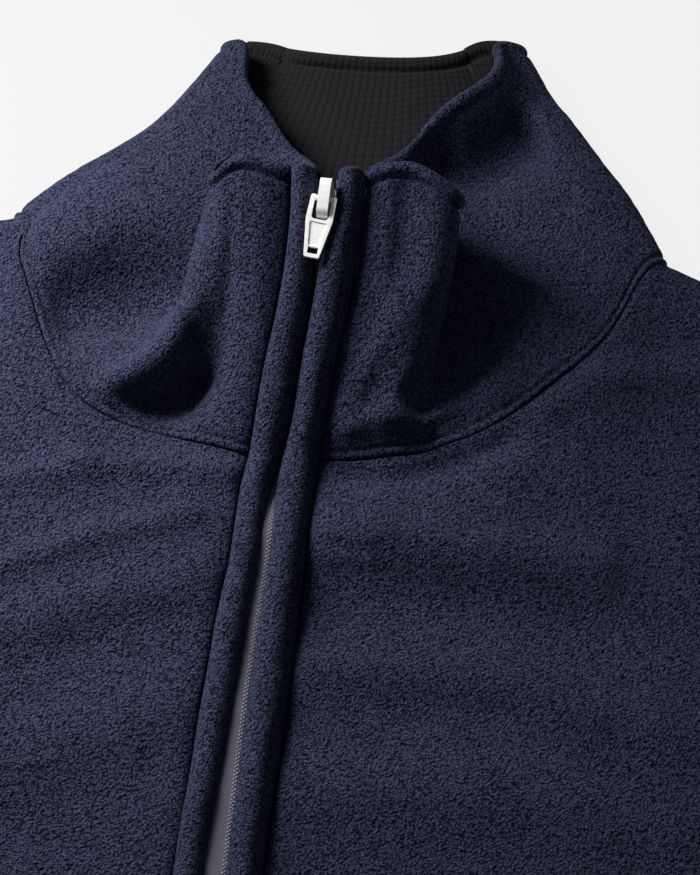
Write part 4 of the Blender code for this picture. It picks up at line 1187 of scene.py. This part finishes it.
def zip_lines():
    """Stations up the zip: cloth edges, the ways across and off the cloth, and inner edges."""
    left, right = zip_edge_line(-1), zip_edge_line(1)
    on_body = left[:BODY_STATIONS - 1, 1]
    inner = [np.concatenate([spline(BODY_ZIP[:, 0], BODY_ZIP[:, pick + 1], on_body),
                             spline(COLLAR_ZIP[:, 0], COLLAR_ZIP[:, pick], COLLAR_STATIONS[1:])])
             for pick in (1, 2)]
    across = unit(right - left)
    middle = (left + right) / 2
    for _ in range(30):
        middle[1:-1] = middle[1:-1] * 0.5 + (middle[:-2] + middle[2:]) * 0.25
    off = unit(np.cross(across, np.gradient(middle, axis=0)))
    return left, right, across, off, inner[0] - left[:, 0], inner[1] - left[:, 0]


zip_left, zip_right, zip_across, zip_off, zip_near, zip_far = zip_lines()
zip_run = line_lengths(zip_left)


def beside_zip(base, across, off, x, z):
    """Points that lie x across the zip and z off the cloth, from stations up it."""
    return base[:, None] + across[:, None] * x[..., None] + off[:, None] * z[..., None]


print("the zip is", round(zip_run[-1]), "mm long and has", len(zip_left), "stations")

# %% The two rolls
ROLL_WAVES = {
    # length in mm, height in mm and phase
    "welt_skin_left": ((61.0, 0.20, 0.3), (27.0, 0.16, 1.9), (13.0, 0.08, 4.0)),
    "welt_skin_right": ((53.0, 0.22, 2.2), (31.0, 0.15, 0.4), (15.0, 0.08, 5.1)),
}
WELT_PROUD = 4.6         # how far a strip stands above the cloth beside it
ROLL_WANDER = ((83.0, 0.12, 1.0), (37.0, 0.10, 2.0))
ROLL_FOOT = 1.6          # how far a roll reaches down into the cloth
ROLL_END = 1.9           # how far its end stands past the last station
ROLL_LEAN = 0.08
ROLL_SWELL = 1.2         # how much taller it is on the body
ROLL_GAP = 0.15


def make_roll(name, start, end):
    """One rolled strip: a round section swept up the zip and closed by a dome at its top."""
    turns = np.radians(np.linspace(-22, 202, 36))
    shape_x = -0.5 * np.cos(turns) - ROLL_LEAN * np.clip(np.sin(turns), 0, 1)
    shape_z = np.sign(np.sin(turns)) * np.abs(np.sin(turns)) ** 0.9
    kept = zip_run < zip_run[-1] - 1.3
    run, base, across, off = (values[kept] for values in (zip_run, zip_left, zip_across, zip_off))
    down = np.clip((NECK_Y - 6.0 - base[:, 1]) / 34.0, 0, 1)
    tall = WELT_PROUD + ROLL_FOOT + 0.3 + ROLL_SWELL * down + waves(run, ROLL_WAVES[name])
    centre = ((start + end) / 2)[kept] + waves(run, ROLL_WANDER)
    x = centre[:, None] + shape_x[None] * (end - start)[kept][:, None]
    z = -ROLL_FOOT + shape_z[None] * tall[:, None]
    net = beside_zip(base, across, off, x, z)
    onward = unit(net[-1] - net[-6])
    middle = base[-1] + across[-1] * centre[-1] + off[-1] * (tall[-1] * 0.35 - ROLL_FOOT)
    dome = [middle + (net[-1] - middle) * math.cos(turn) ** 0.55
            + onward * ROLL_END * math.sin(turn) for turn in np.radians((18, 36, 54, 70, 82, 90))]
    net = np.concatenate([net, dome])
    return make_skin(name, net + net_normals(net) * lumps(net, 0.12, 2.2)[..., None], fleece)


zip_width = np.linalg.norm(zip_right - zip_left, axis=1)
welt_left = make_roll("welt_skin_left", np.full_like(zip_near, ROLL_GAP), zip_near)
welt_right = make_roll("welt_skin_right", zip_far, zip_width - ROLL_GAP)

# %% [markdown]
# ## Tapes and teeth
#
# Between the rolls the zip shows as a narrow band of grey tape. It is a reverse coil: the coil is
# sewn to the back, so the face is plain woven tape whose two edges meet in a fine toothed line.
# Each tape is a narrow woven strip from under its roll to the teeth. The coil's turns are small
# rounded bumps, one each 1.25 mm, set along the line where the tapes meet.

# %% Tape and coil finishes
RIB_SPACING = 0.0007     # metres from rib to rib of the weave


def make_tape():
    """Grey woven tape: fine diagonal ribs, with a little painted shade in the valleys between them.
    """
    finish = Finish("grey woven tape")
    place = finish.place()
    parts = finish.node("SeparateXYZ", {"Vector": place}).outputs
    slant = finish.total((parts["Y"], 1), (parts["X"], 0.8))
    rib = finish.maths("SINE", finish.maths("MULTIPLY", slant, 2 * math.pi / RIB_SPACING))
    height = finish.total((rib, 0.25), (finish.noise(place, 2600.0, 2.0, 0.6), 1))
    # Colour from the height: the noise varies the tape's own tone, and the ribs add painted shade
    # in their valleys.
    stops = [(0.1, (0.056, 0.055, 0.080)), (0.9, (0.115, 0.112, 0.158))]
    return finish.surface(height, 0.0002, 0.5, stops, {
        "Roughness": 0.7, "Specular IOR Level": 0.3})


def make_dappled(name, scale, depth, strength, stops, values):
    """A smooth finish with faint scuffs or unevenness."""
    finish = Finish(name)
    return finish.surface(finish.noise(finish.place(), scale, 3.0, 0.6), depth, strength, stops,
                          values)


tape_weave = make_tape()
coil_finish = make_dappled("grey nylon coil", 900.0, 0.0001, 0.15, [
    (0.3, (0.14, 0.136, 0.155)), (0.7, (0.30, 0.29, 0.33))], {"Roughness": 0.42})

# %% Sizes of the zip
TAPE_DROP = 2.7          # top of the tape below the outer face of the cloth
CHAIN_DEPTH = 4.5        # underside of the closed teeth below the outer face of the cloth

# The slider and its pull, along the zip, across it and off the cloth.
SLIDER_LEVEL = 0.865     # level of the pull's axle up the collar
AXLE_HEIGHT = 5.7
AXLE_RADIUS = 0.85
AXLE_HOLE_RADIUS = 1.2
BRIDGE_WIDTH = 3.4
BRIDGE_TOP = 7.7
BRIDGE_ENDS = (-6.8, 5.7)       # its upper and lower end, measured down the zip from the axle
BRIDGE_ROUNDING = (3.2, 2.6)    # radius of its upper and of its lower end
PLATE_WIDTHS = (4.8, 3.6)       # of the slider's upper plate, at its top and at its lower end
PLATE_THICKNESSES = (1.25, 1.4)  # of the upper and of the lower plate
PLATE_CORNER = 1.2
LOWER_PLATE_WIDTH = 8.2
POST_WIDTH = 2.2                # the post that joins the plates
PULL_LENGTH = 18.6
PULL_THICKNESS = 1.4
PULL_WIDTHS = (7.9, 8.2, 4.8)   # at the ears, at the window's end and at the free end
EAR_TOP = 0.9                   # top of the ears past the axle
PULL_WINDOW = (5.4, 6.7)        # width and far end of the window that clears the bridge
WINDOW_CORNER = 1.3
PULL_EYE = (3.1, 2.0, 1.2)      # width and length of the cord hole, and the bar below it
PULL_RECESS = (5.4, 3.5, 0.3)   # widths of the sunk face at its top and its low end, and its depth
PULL_RIM = 0.9                  # rim between the window and the sunk face, and beside the hole
PULL_SKEW = -5.0                # degrees that the hanging pull turns from the slider
SLIDER_PLACE = float(np.interp(SLIDER_LEVEL, COLLAR_STATIONS, zip_run[-len(COLLAR_STATIONS):]))
print("the axle stands", AXLE_HEIGHT, "mm off the cloth,", round(SLIDER_PLACE), "mm up the zip")

# %% The two tapes
TAPE_SHOWS = 2.2         # level of the tapes between the rolls of the body
TAPE_HIDDEN = 4.5        # how far each reaches under its roll
TAPE_SUNK = -2.0         # level of the tapes up the collar
TAPE_APART = 0.7         # how far each shows above the slider
TEETH_FROM_RIGHT = 0.30

down_the_body = np.clip((NECK_Y - 2.0 - zip_left[:, 1]) / 26.0, 0, 1)
tape_level = TAPE_SUNK + (TAPE_SHOWS - TAPE_SUNK) * down_the_body ** 2 * (3 - 2 * down_the_body)
tape_meet = np.maximum(zip_far - TEETH_FROM_RIGHT, (zip_near + zip_far) / 2)


def make_strip(name, side, edge):
    """One woven tape, from under its roll to the teeth; above the slider the two part."""
    outer = edge + side * TAPE_HIDDEN
    inner = np.where(zip_run > SLIDER_PLACE, edge - side * TAPE_APART, tape_meet + side * 0.05)
    share = np.linspace(0, 1, 6)
    x = outer[:, None] + (inner - outer)[:, None] * share
    z = tape_level[:, None] - 0.6 * (1 - share[None]) ** 2
    net = beside_zip(zip_left, zip_across, zip_off, x, z)
    flat = np.stack(np.meshgrid(zip_run, share * 5.0, indexing="ij")[::-1], axis=2)
    kept = zip_run < zip_run[-1] - 3.0
    return make_skin(name, net[kept][:, ::-side], tape_weave, flat[kept][:, ::-side])


tapes = [make_strip("zip_tape_woven_left", -1, zip_near),
         make_strip("zip_tape_woven_right", 1, zip_far)]

# %% The coil
COIL_PITCH = 1.25
COIL_SPREAD = 0.28               # from the line where the tapes meet to each row of beads
COIL_LIFT = 0.06
COIL_BEAD = (0.36, 0.32, 0.18)   # half sizes across, along and off the tape
BEAD_RINGS = ((-1.0, 0.75), (-0.2, 1.0), (0.55, 0.92), (1.0, 0.5))   # level and share of its width
BEAD_SIDES = 6


def close_up(shape, rings):
    """Walls between rings of points, and a lid on the first and on the last."""
    for low, high in zip(rings[:-1], rings[1:]):
        for k in range(len(low)):
            after = (k + 1) % len(low)
            shape.faces.new((low[k], low[after], high[after], high[k]))
    shape.faces.new(rings[0][::-1])
    shape.faces.new(rings[-1])


def add_bead(shape, centre, across, along, off):
    """A small rounded block on the tape."""
    turns = [2 * math.pi * (k + 0.5) / BEAD_SIDES for k in range(BEAD_SIDES)]
    close_up(shape, [[shape.verts.new(in_scene(
        centre + across * COIL_BEAD[0] * share * math.cos(turn)
        + along * COIL_BEAD[1] * share * math.sin(turn) + off * COIL_BEAD[2] * level))
        for turn in turns] for level, share in BEAD_RINGS])


def finish_mesh(name, shape, material):
    """An object from a bmesh, smooth but for its sharp edges."""
    mesh = bpy.data.meshes.new(name)
    bmesh.ops.recalc_face_normals(shape, faces=shape.faces)
    shape.to_mesh(mesh)
    shape.free()
    piece = finished(name, mesh, material)
    mesh.set_sharp_from_angle(angle=math.radians(50))
    return piece


def read_at(run, values):
    """Values of the zip's stations at distances up it."""
    return np.stack([np.interp(run, zip_run, column) for column in values.T], axis=-1)


def make_coil():
    """The toothed line where the two tapes meet, up to where the rolls close over it."""
    shape = bmesh.new()
    closed = zip_run[np.argmax(zip_left[:, 1] > NECK_Y - 10.0)]
    places = np.arange(3.0, closed, COIL_PITCH)
    middle, level = (np.interp(places, zip_run, line) for line in (tape_meet, tape_level))
    base, across, off = (read_at(places, line) for line in (zip_left, zip_across, zip_off))
    across, off, along = unit(across), unit(off), unit(np.gradient(base, axis=0))
    for k in range(len(places)):
        for side in (-1, 1):
            shift = along[k] * (COIL_PITCH / 4 * side)
            centre = base[k] + across[k] * (middle[k] + COIL_SPREAD * side) + shift
            add_bead(shape, centre + off[k] * (level[k] + COIL_LIFT), across[k], along[k], off[k])
    return finish_mesh("zip_coil", shape, coil_finish)


zip_coil = make_coil()

# %% [markdown]
# ## The slider
#
# The slider is a zinc casting in white enamel: a plate each side of the tape, joined by a post at
# the top, with a bridge over it that holds the pull. Its side view is cut from a drawing of lines
# and arcs, the plates are joined to it, and a small bevel gives the soft edges of enamel.

# %% White enamel
enamel = make_dappled("white enamel", 700.0, 0.0002, 0.10, [
    (0.2, (0.80, 0.795, 0.785)), (0.55, (0.93, 0.93, 0.92))], {
    "Roughness": 0.34, "Coat Weight": 0.25, "Coat Roughness": 0.25})

# %% Drawing tools for small castings
def arc(centre, radius, start, end, steps):
    """Points on an arc between two angles in degrees."""
    turns = [math.radians(start + (end - start) * k / steps) for k in range(steps + 1)]
    return [(centre[0] + radius * math.cos(t), centre[1] + radius * math.sin(t)) for t in turns]


def casting(name, outline, low, high, place, lies_across=False):
    """A block of enamelled zinc, cut to an outline in mm and as thick as low to high, in place.

    Its thickness runs off the cloth, or across the zip where the outline is a side view."""
    shape = bmesh.new()
    close_up(shape, [[shape.verts.new(place @ Vector((c, a, b) if lies_across else (a, b, c)))
                      for a, b in outline] for c in (low, high)])
    return finish_mesh(name, shape, enamel)


def settle(piece, *changes):
    """Applies each change's modifier at once, and removes the helper it used."""
    for kind, settings in changes:
        change = piece.modifiers.new(kind.lower(), kind)
        for key, value in settings.items():
            setattr(change, key, value)
        shown = piece.evaluated_get(bpy.context.evaluated_depsgraph_get())
        mesh = bpy.data.meshes.new_from_object(shown)
        piece.modifiers.clear()
        piece.data = mesh
        if "object" in settings:
            bpy.data.objects.remove(settings["object"], do_unlink=True)
    return piece


SOFT_EDGE = ("BEVEL", {"width": 0.00028, "segments": 3, "limit_method": "ANGLE",
                       "angle_limit": math.radians(32), "use_clamp_overlap": True})


def steps(operation, *others):
    """Steps that join other castings to a first one (UNION) or cut them out (DIFFERENCE)."""
    return [("BOOLEAN", {"operation": operation, "object": other}) for other in others]


print("a quarter round in two steps:", np.round(arc((0, 0), 1, 0, 90, 2), 2).tolist())

# %% Axes of the slider
hinge = next(j for j in frame["joints"] if j["name"] == "pull_swing")


def slider_axes():
    """Slider millimetres into the scene: x across the zip, y up it and z off the cloth."""
    off = Vector(read_at(np.array([SLIDER_PLACE]), zip_off)[0])
    pull_across = -Vector(hinge["axis"]).normalized()
    across = Matrix.Rotation(math.radians(-PULL_SKEW), 3, off) @ pull_across
    z = (off - across * off.dot(across)).normalized()
    y = z.cross(across).normalized()
    centre = Vector(hinge["pos_m"]) - z * AXLE_HEIGHT * MILLIMETRE
    axes = Matrix.Identity(4)
    for row in range(3):
        axes[row][:] = [way[row] * MILLIMETRE for way in (across, y, z)] + [centre[row]]
    return axes


slider_place = slider_axes()
pull_place = (slider_place @ Matrix.Translation((0, 0, AXLE_HEIGHT))
              @ Matrix.Rotation(math.radians(PULL_SKEW), 4, "Z"))
print("the slider stands at", [round(v, 4) for v in slider_place.translation])

# %% Slider
def make_slider():
    """The slider body: bridge, two plates and the post between them, in one casting."""
    top_end, low_end = -BRIDGE_ENDS[0], -BRIDGE_ENDS[1]
    foot = -TAPE_DROP + SEAM_GAP
    upper_round, lower_round = BRIDGE_ROUNDING
    half = BRIDGE_WIDTH / 2
    side_view = [(low_end, foot), (top_end, foot)]
    side_view += arc((top_end - upper_round, BRIDGE_TOP - upper_round), upper_round, 0, 90, 12)
    side_view += arc((low_end + lower_round, BRIDGE_TOP - lower_round), lower_round, 90, 180, 10)
    slider = casting("slider_casting", side_view, -half, half, slider_place, True)
    wide, narrow = (width / 2 for width in PLATE_WIDTHS)
    start, top = low_end + SEAM_GAP, top_end - SEAM_GAP
    plate = [(-narrow, start), (narrow, start), (wide, 0.0), (wide, top - PLATE_CORNER),
             (wide - PLATE_CORNER, top), (PLATE_CORNER - wide, top), (-wide, top - PLATE_CORNER),
             (-wide, 0.0)]
    wider = [(x * LOWER_PLATE_WIDTH / PLATE_WIDTHS[0], y * 0.96) for x, y in plate]
    upper_thick, lower_thick = PLATE_THICKNESSES
    upper_foot, lower_top = foot + 0.05, -CHAIN_DEPTH - SEAM_GAP
    side, post_top = POST_WIDTH / 2, top_end - 1.0
    post = [(-side, 0.0), (side, 0.0), (side, post_top), (-side, post_top)]
    parts = [casting(name, outline, low, high, slider_place) for name, outline, low, high in (
        ("upper_plate", plate, upper_foot, upper_foot + upper_thick),
        ("lower_plate", wider, lower_top - lower_thick, lower_top),
        ("post", post, lower_top - lower_thick / 2, foot + upper_thick / 2))]
    circle = arc((0.0, AXLE_HEIGHT), AXLE_HOLE_RADIUS, 0, 345, 23)
    hole = casting("axle_hole", circle, -4.0, 4.0, slider_place, True)
    return settle(slider, *steps("UNION", *parts), *steps("DIFFERENCE", hole), SOFT_EDGE)


slider_casting = make_slider()

# %% [markdown]
# ## The pull
#
# The pull is a tapered plate that hangs from an axle through the bridge. A window clears the
# bridge, a small hole at the free end takes a cord, and between them the face is sunk inside a
# raised rim. It rides on its own body, because it is the one hard piece that swings.

# %% Pull
def both_sides(points):
    """An outline from its right side, listed from the low end up, and the mirror of it."""
    return points + [(-x, y) for x, y in points[::-1]]


def make_pull():
    """The pull with its window, its sunk face on both sides, its cord hole and its axle."""
    ear, shoulder, end = (w / 2 for w in PULL_WIDTHS)
    far, half = -PULL_LENGTH, PULL_THICKNESS / 2
    window_wide, window_end = PULL_WINDOW[0] / 2, -PULL_WINDOW[1]
    outline = arc((end - 0.7, far + 0.7), 0.7, 270, 350, 4) + [(shoulder, window_end), (ear, 0.0)]
    outline += arc((ear - 0.7, EAR_TOP - 0.7), 0.7, 10, 90, 4)
    pull = casting("pull_tab_casting", both_sides(outline), -half, half, pull_place)
    corner = (window_wide - WINDOW_CORNER, window_end + WINDOW_CORNER)
    window = arc(corner, WINDOW_CORNER, 270, 360, 7) + [(window_wide, 3.0)]
    eye_low = far + PULL_EYE[2]
    eye_top = eye_low + PULL_EYE[1]
    eye = [(PULL_EYE[0] / 2, eye_low), (PULL_EYE[0] / 2, eye_top)]
    sunk = [(PULL_RECESS[1] / 2, eye_top + PULL_RIM / 2),
            (PULL_RECESS[0] / 2, window_end - PULL_RIM)]
    cuts = (("window", window, -3.0, 3.0), ("cord_hole", eye, -3.0, 3.0),
            ("sunk_face", sunk, half - PULL_RECESS[2], 3.0),
            ("sunk_back", sunk, -3.0, PULL_RECESS[2] - half))
    blocks = [casting(name, both_sides(shape), low, high, pull_place)
              for name, shape, low, high in cuts]
    circle = arc((0.0, 0.0), AXLE_RADIUS, 0, 340, 17)
    axle = casting("axle", circle, 0.5 - ear, ear - 0.5, pull_place, True)
    return settle(pull, *steps("DIFFERENCE", *blocks), *steps("UNION", axle), SOFT_EDGE)


pull_casting = make_pull()

# %% [markdown]
# ## What rides on what
#
# The cloth is one body with the tapes, the coil and the slider, and only the pull swings. Every
# new skin takes the place of the solid that it was worked out from.

# %% Bodies, replaced solids and finishes
REPLACED = {
    collar_shell: ("collar", "navy_fleece"), lining: ("collar_lining", "charcoal_knit"),
    front_skin: ("front", "navy_fleece"), back_skin: ("back", "navy_fleece"),
    sleeves[0]: ("sleeve_left", "navy_fleece"), sleeves[1]: ("sleeve_right", "navy_fleece"),
    welt_left: ("welt_left", "navy_fleece"), welt_right: ("welt_right", "navy_fleece"),
    tapes[0]: ("zip_tape_left", "grey_tape"), tapes[1]: ("zip_tape_right", "grey_tape"),
    zip_coil: ("zip_chain", "grey_teeth"), slider_casting: ("slider", "white_paint"),
    pull_casting: ("pull", "white_paint"),
}
for piece, (node, finish) in REPLACED.items():
    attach(piece, "pull_tab" if piece is pull_casting else "garment")
    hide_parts(node)
print(len(REPLACED), "pieces dressed")
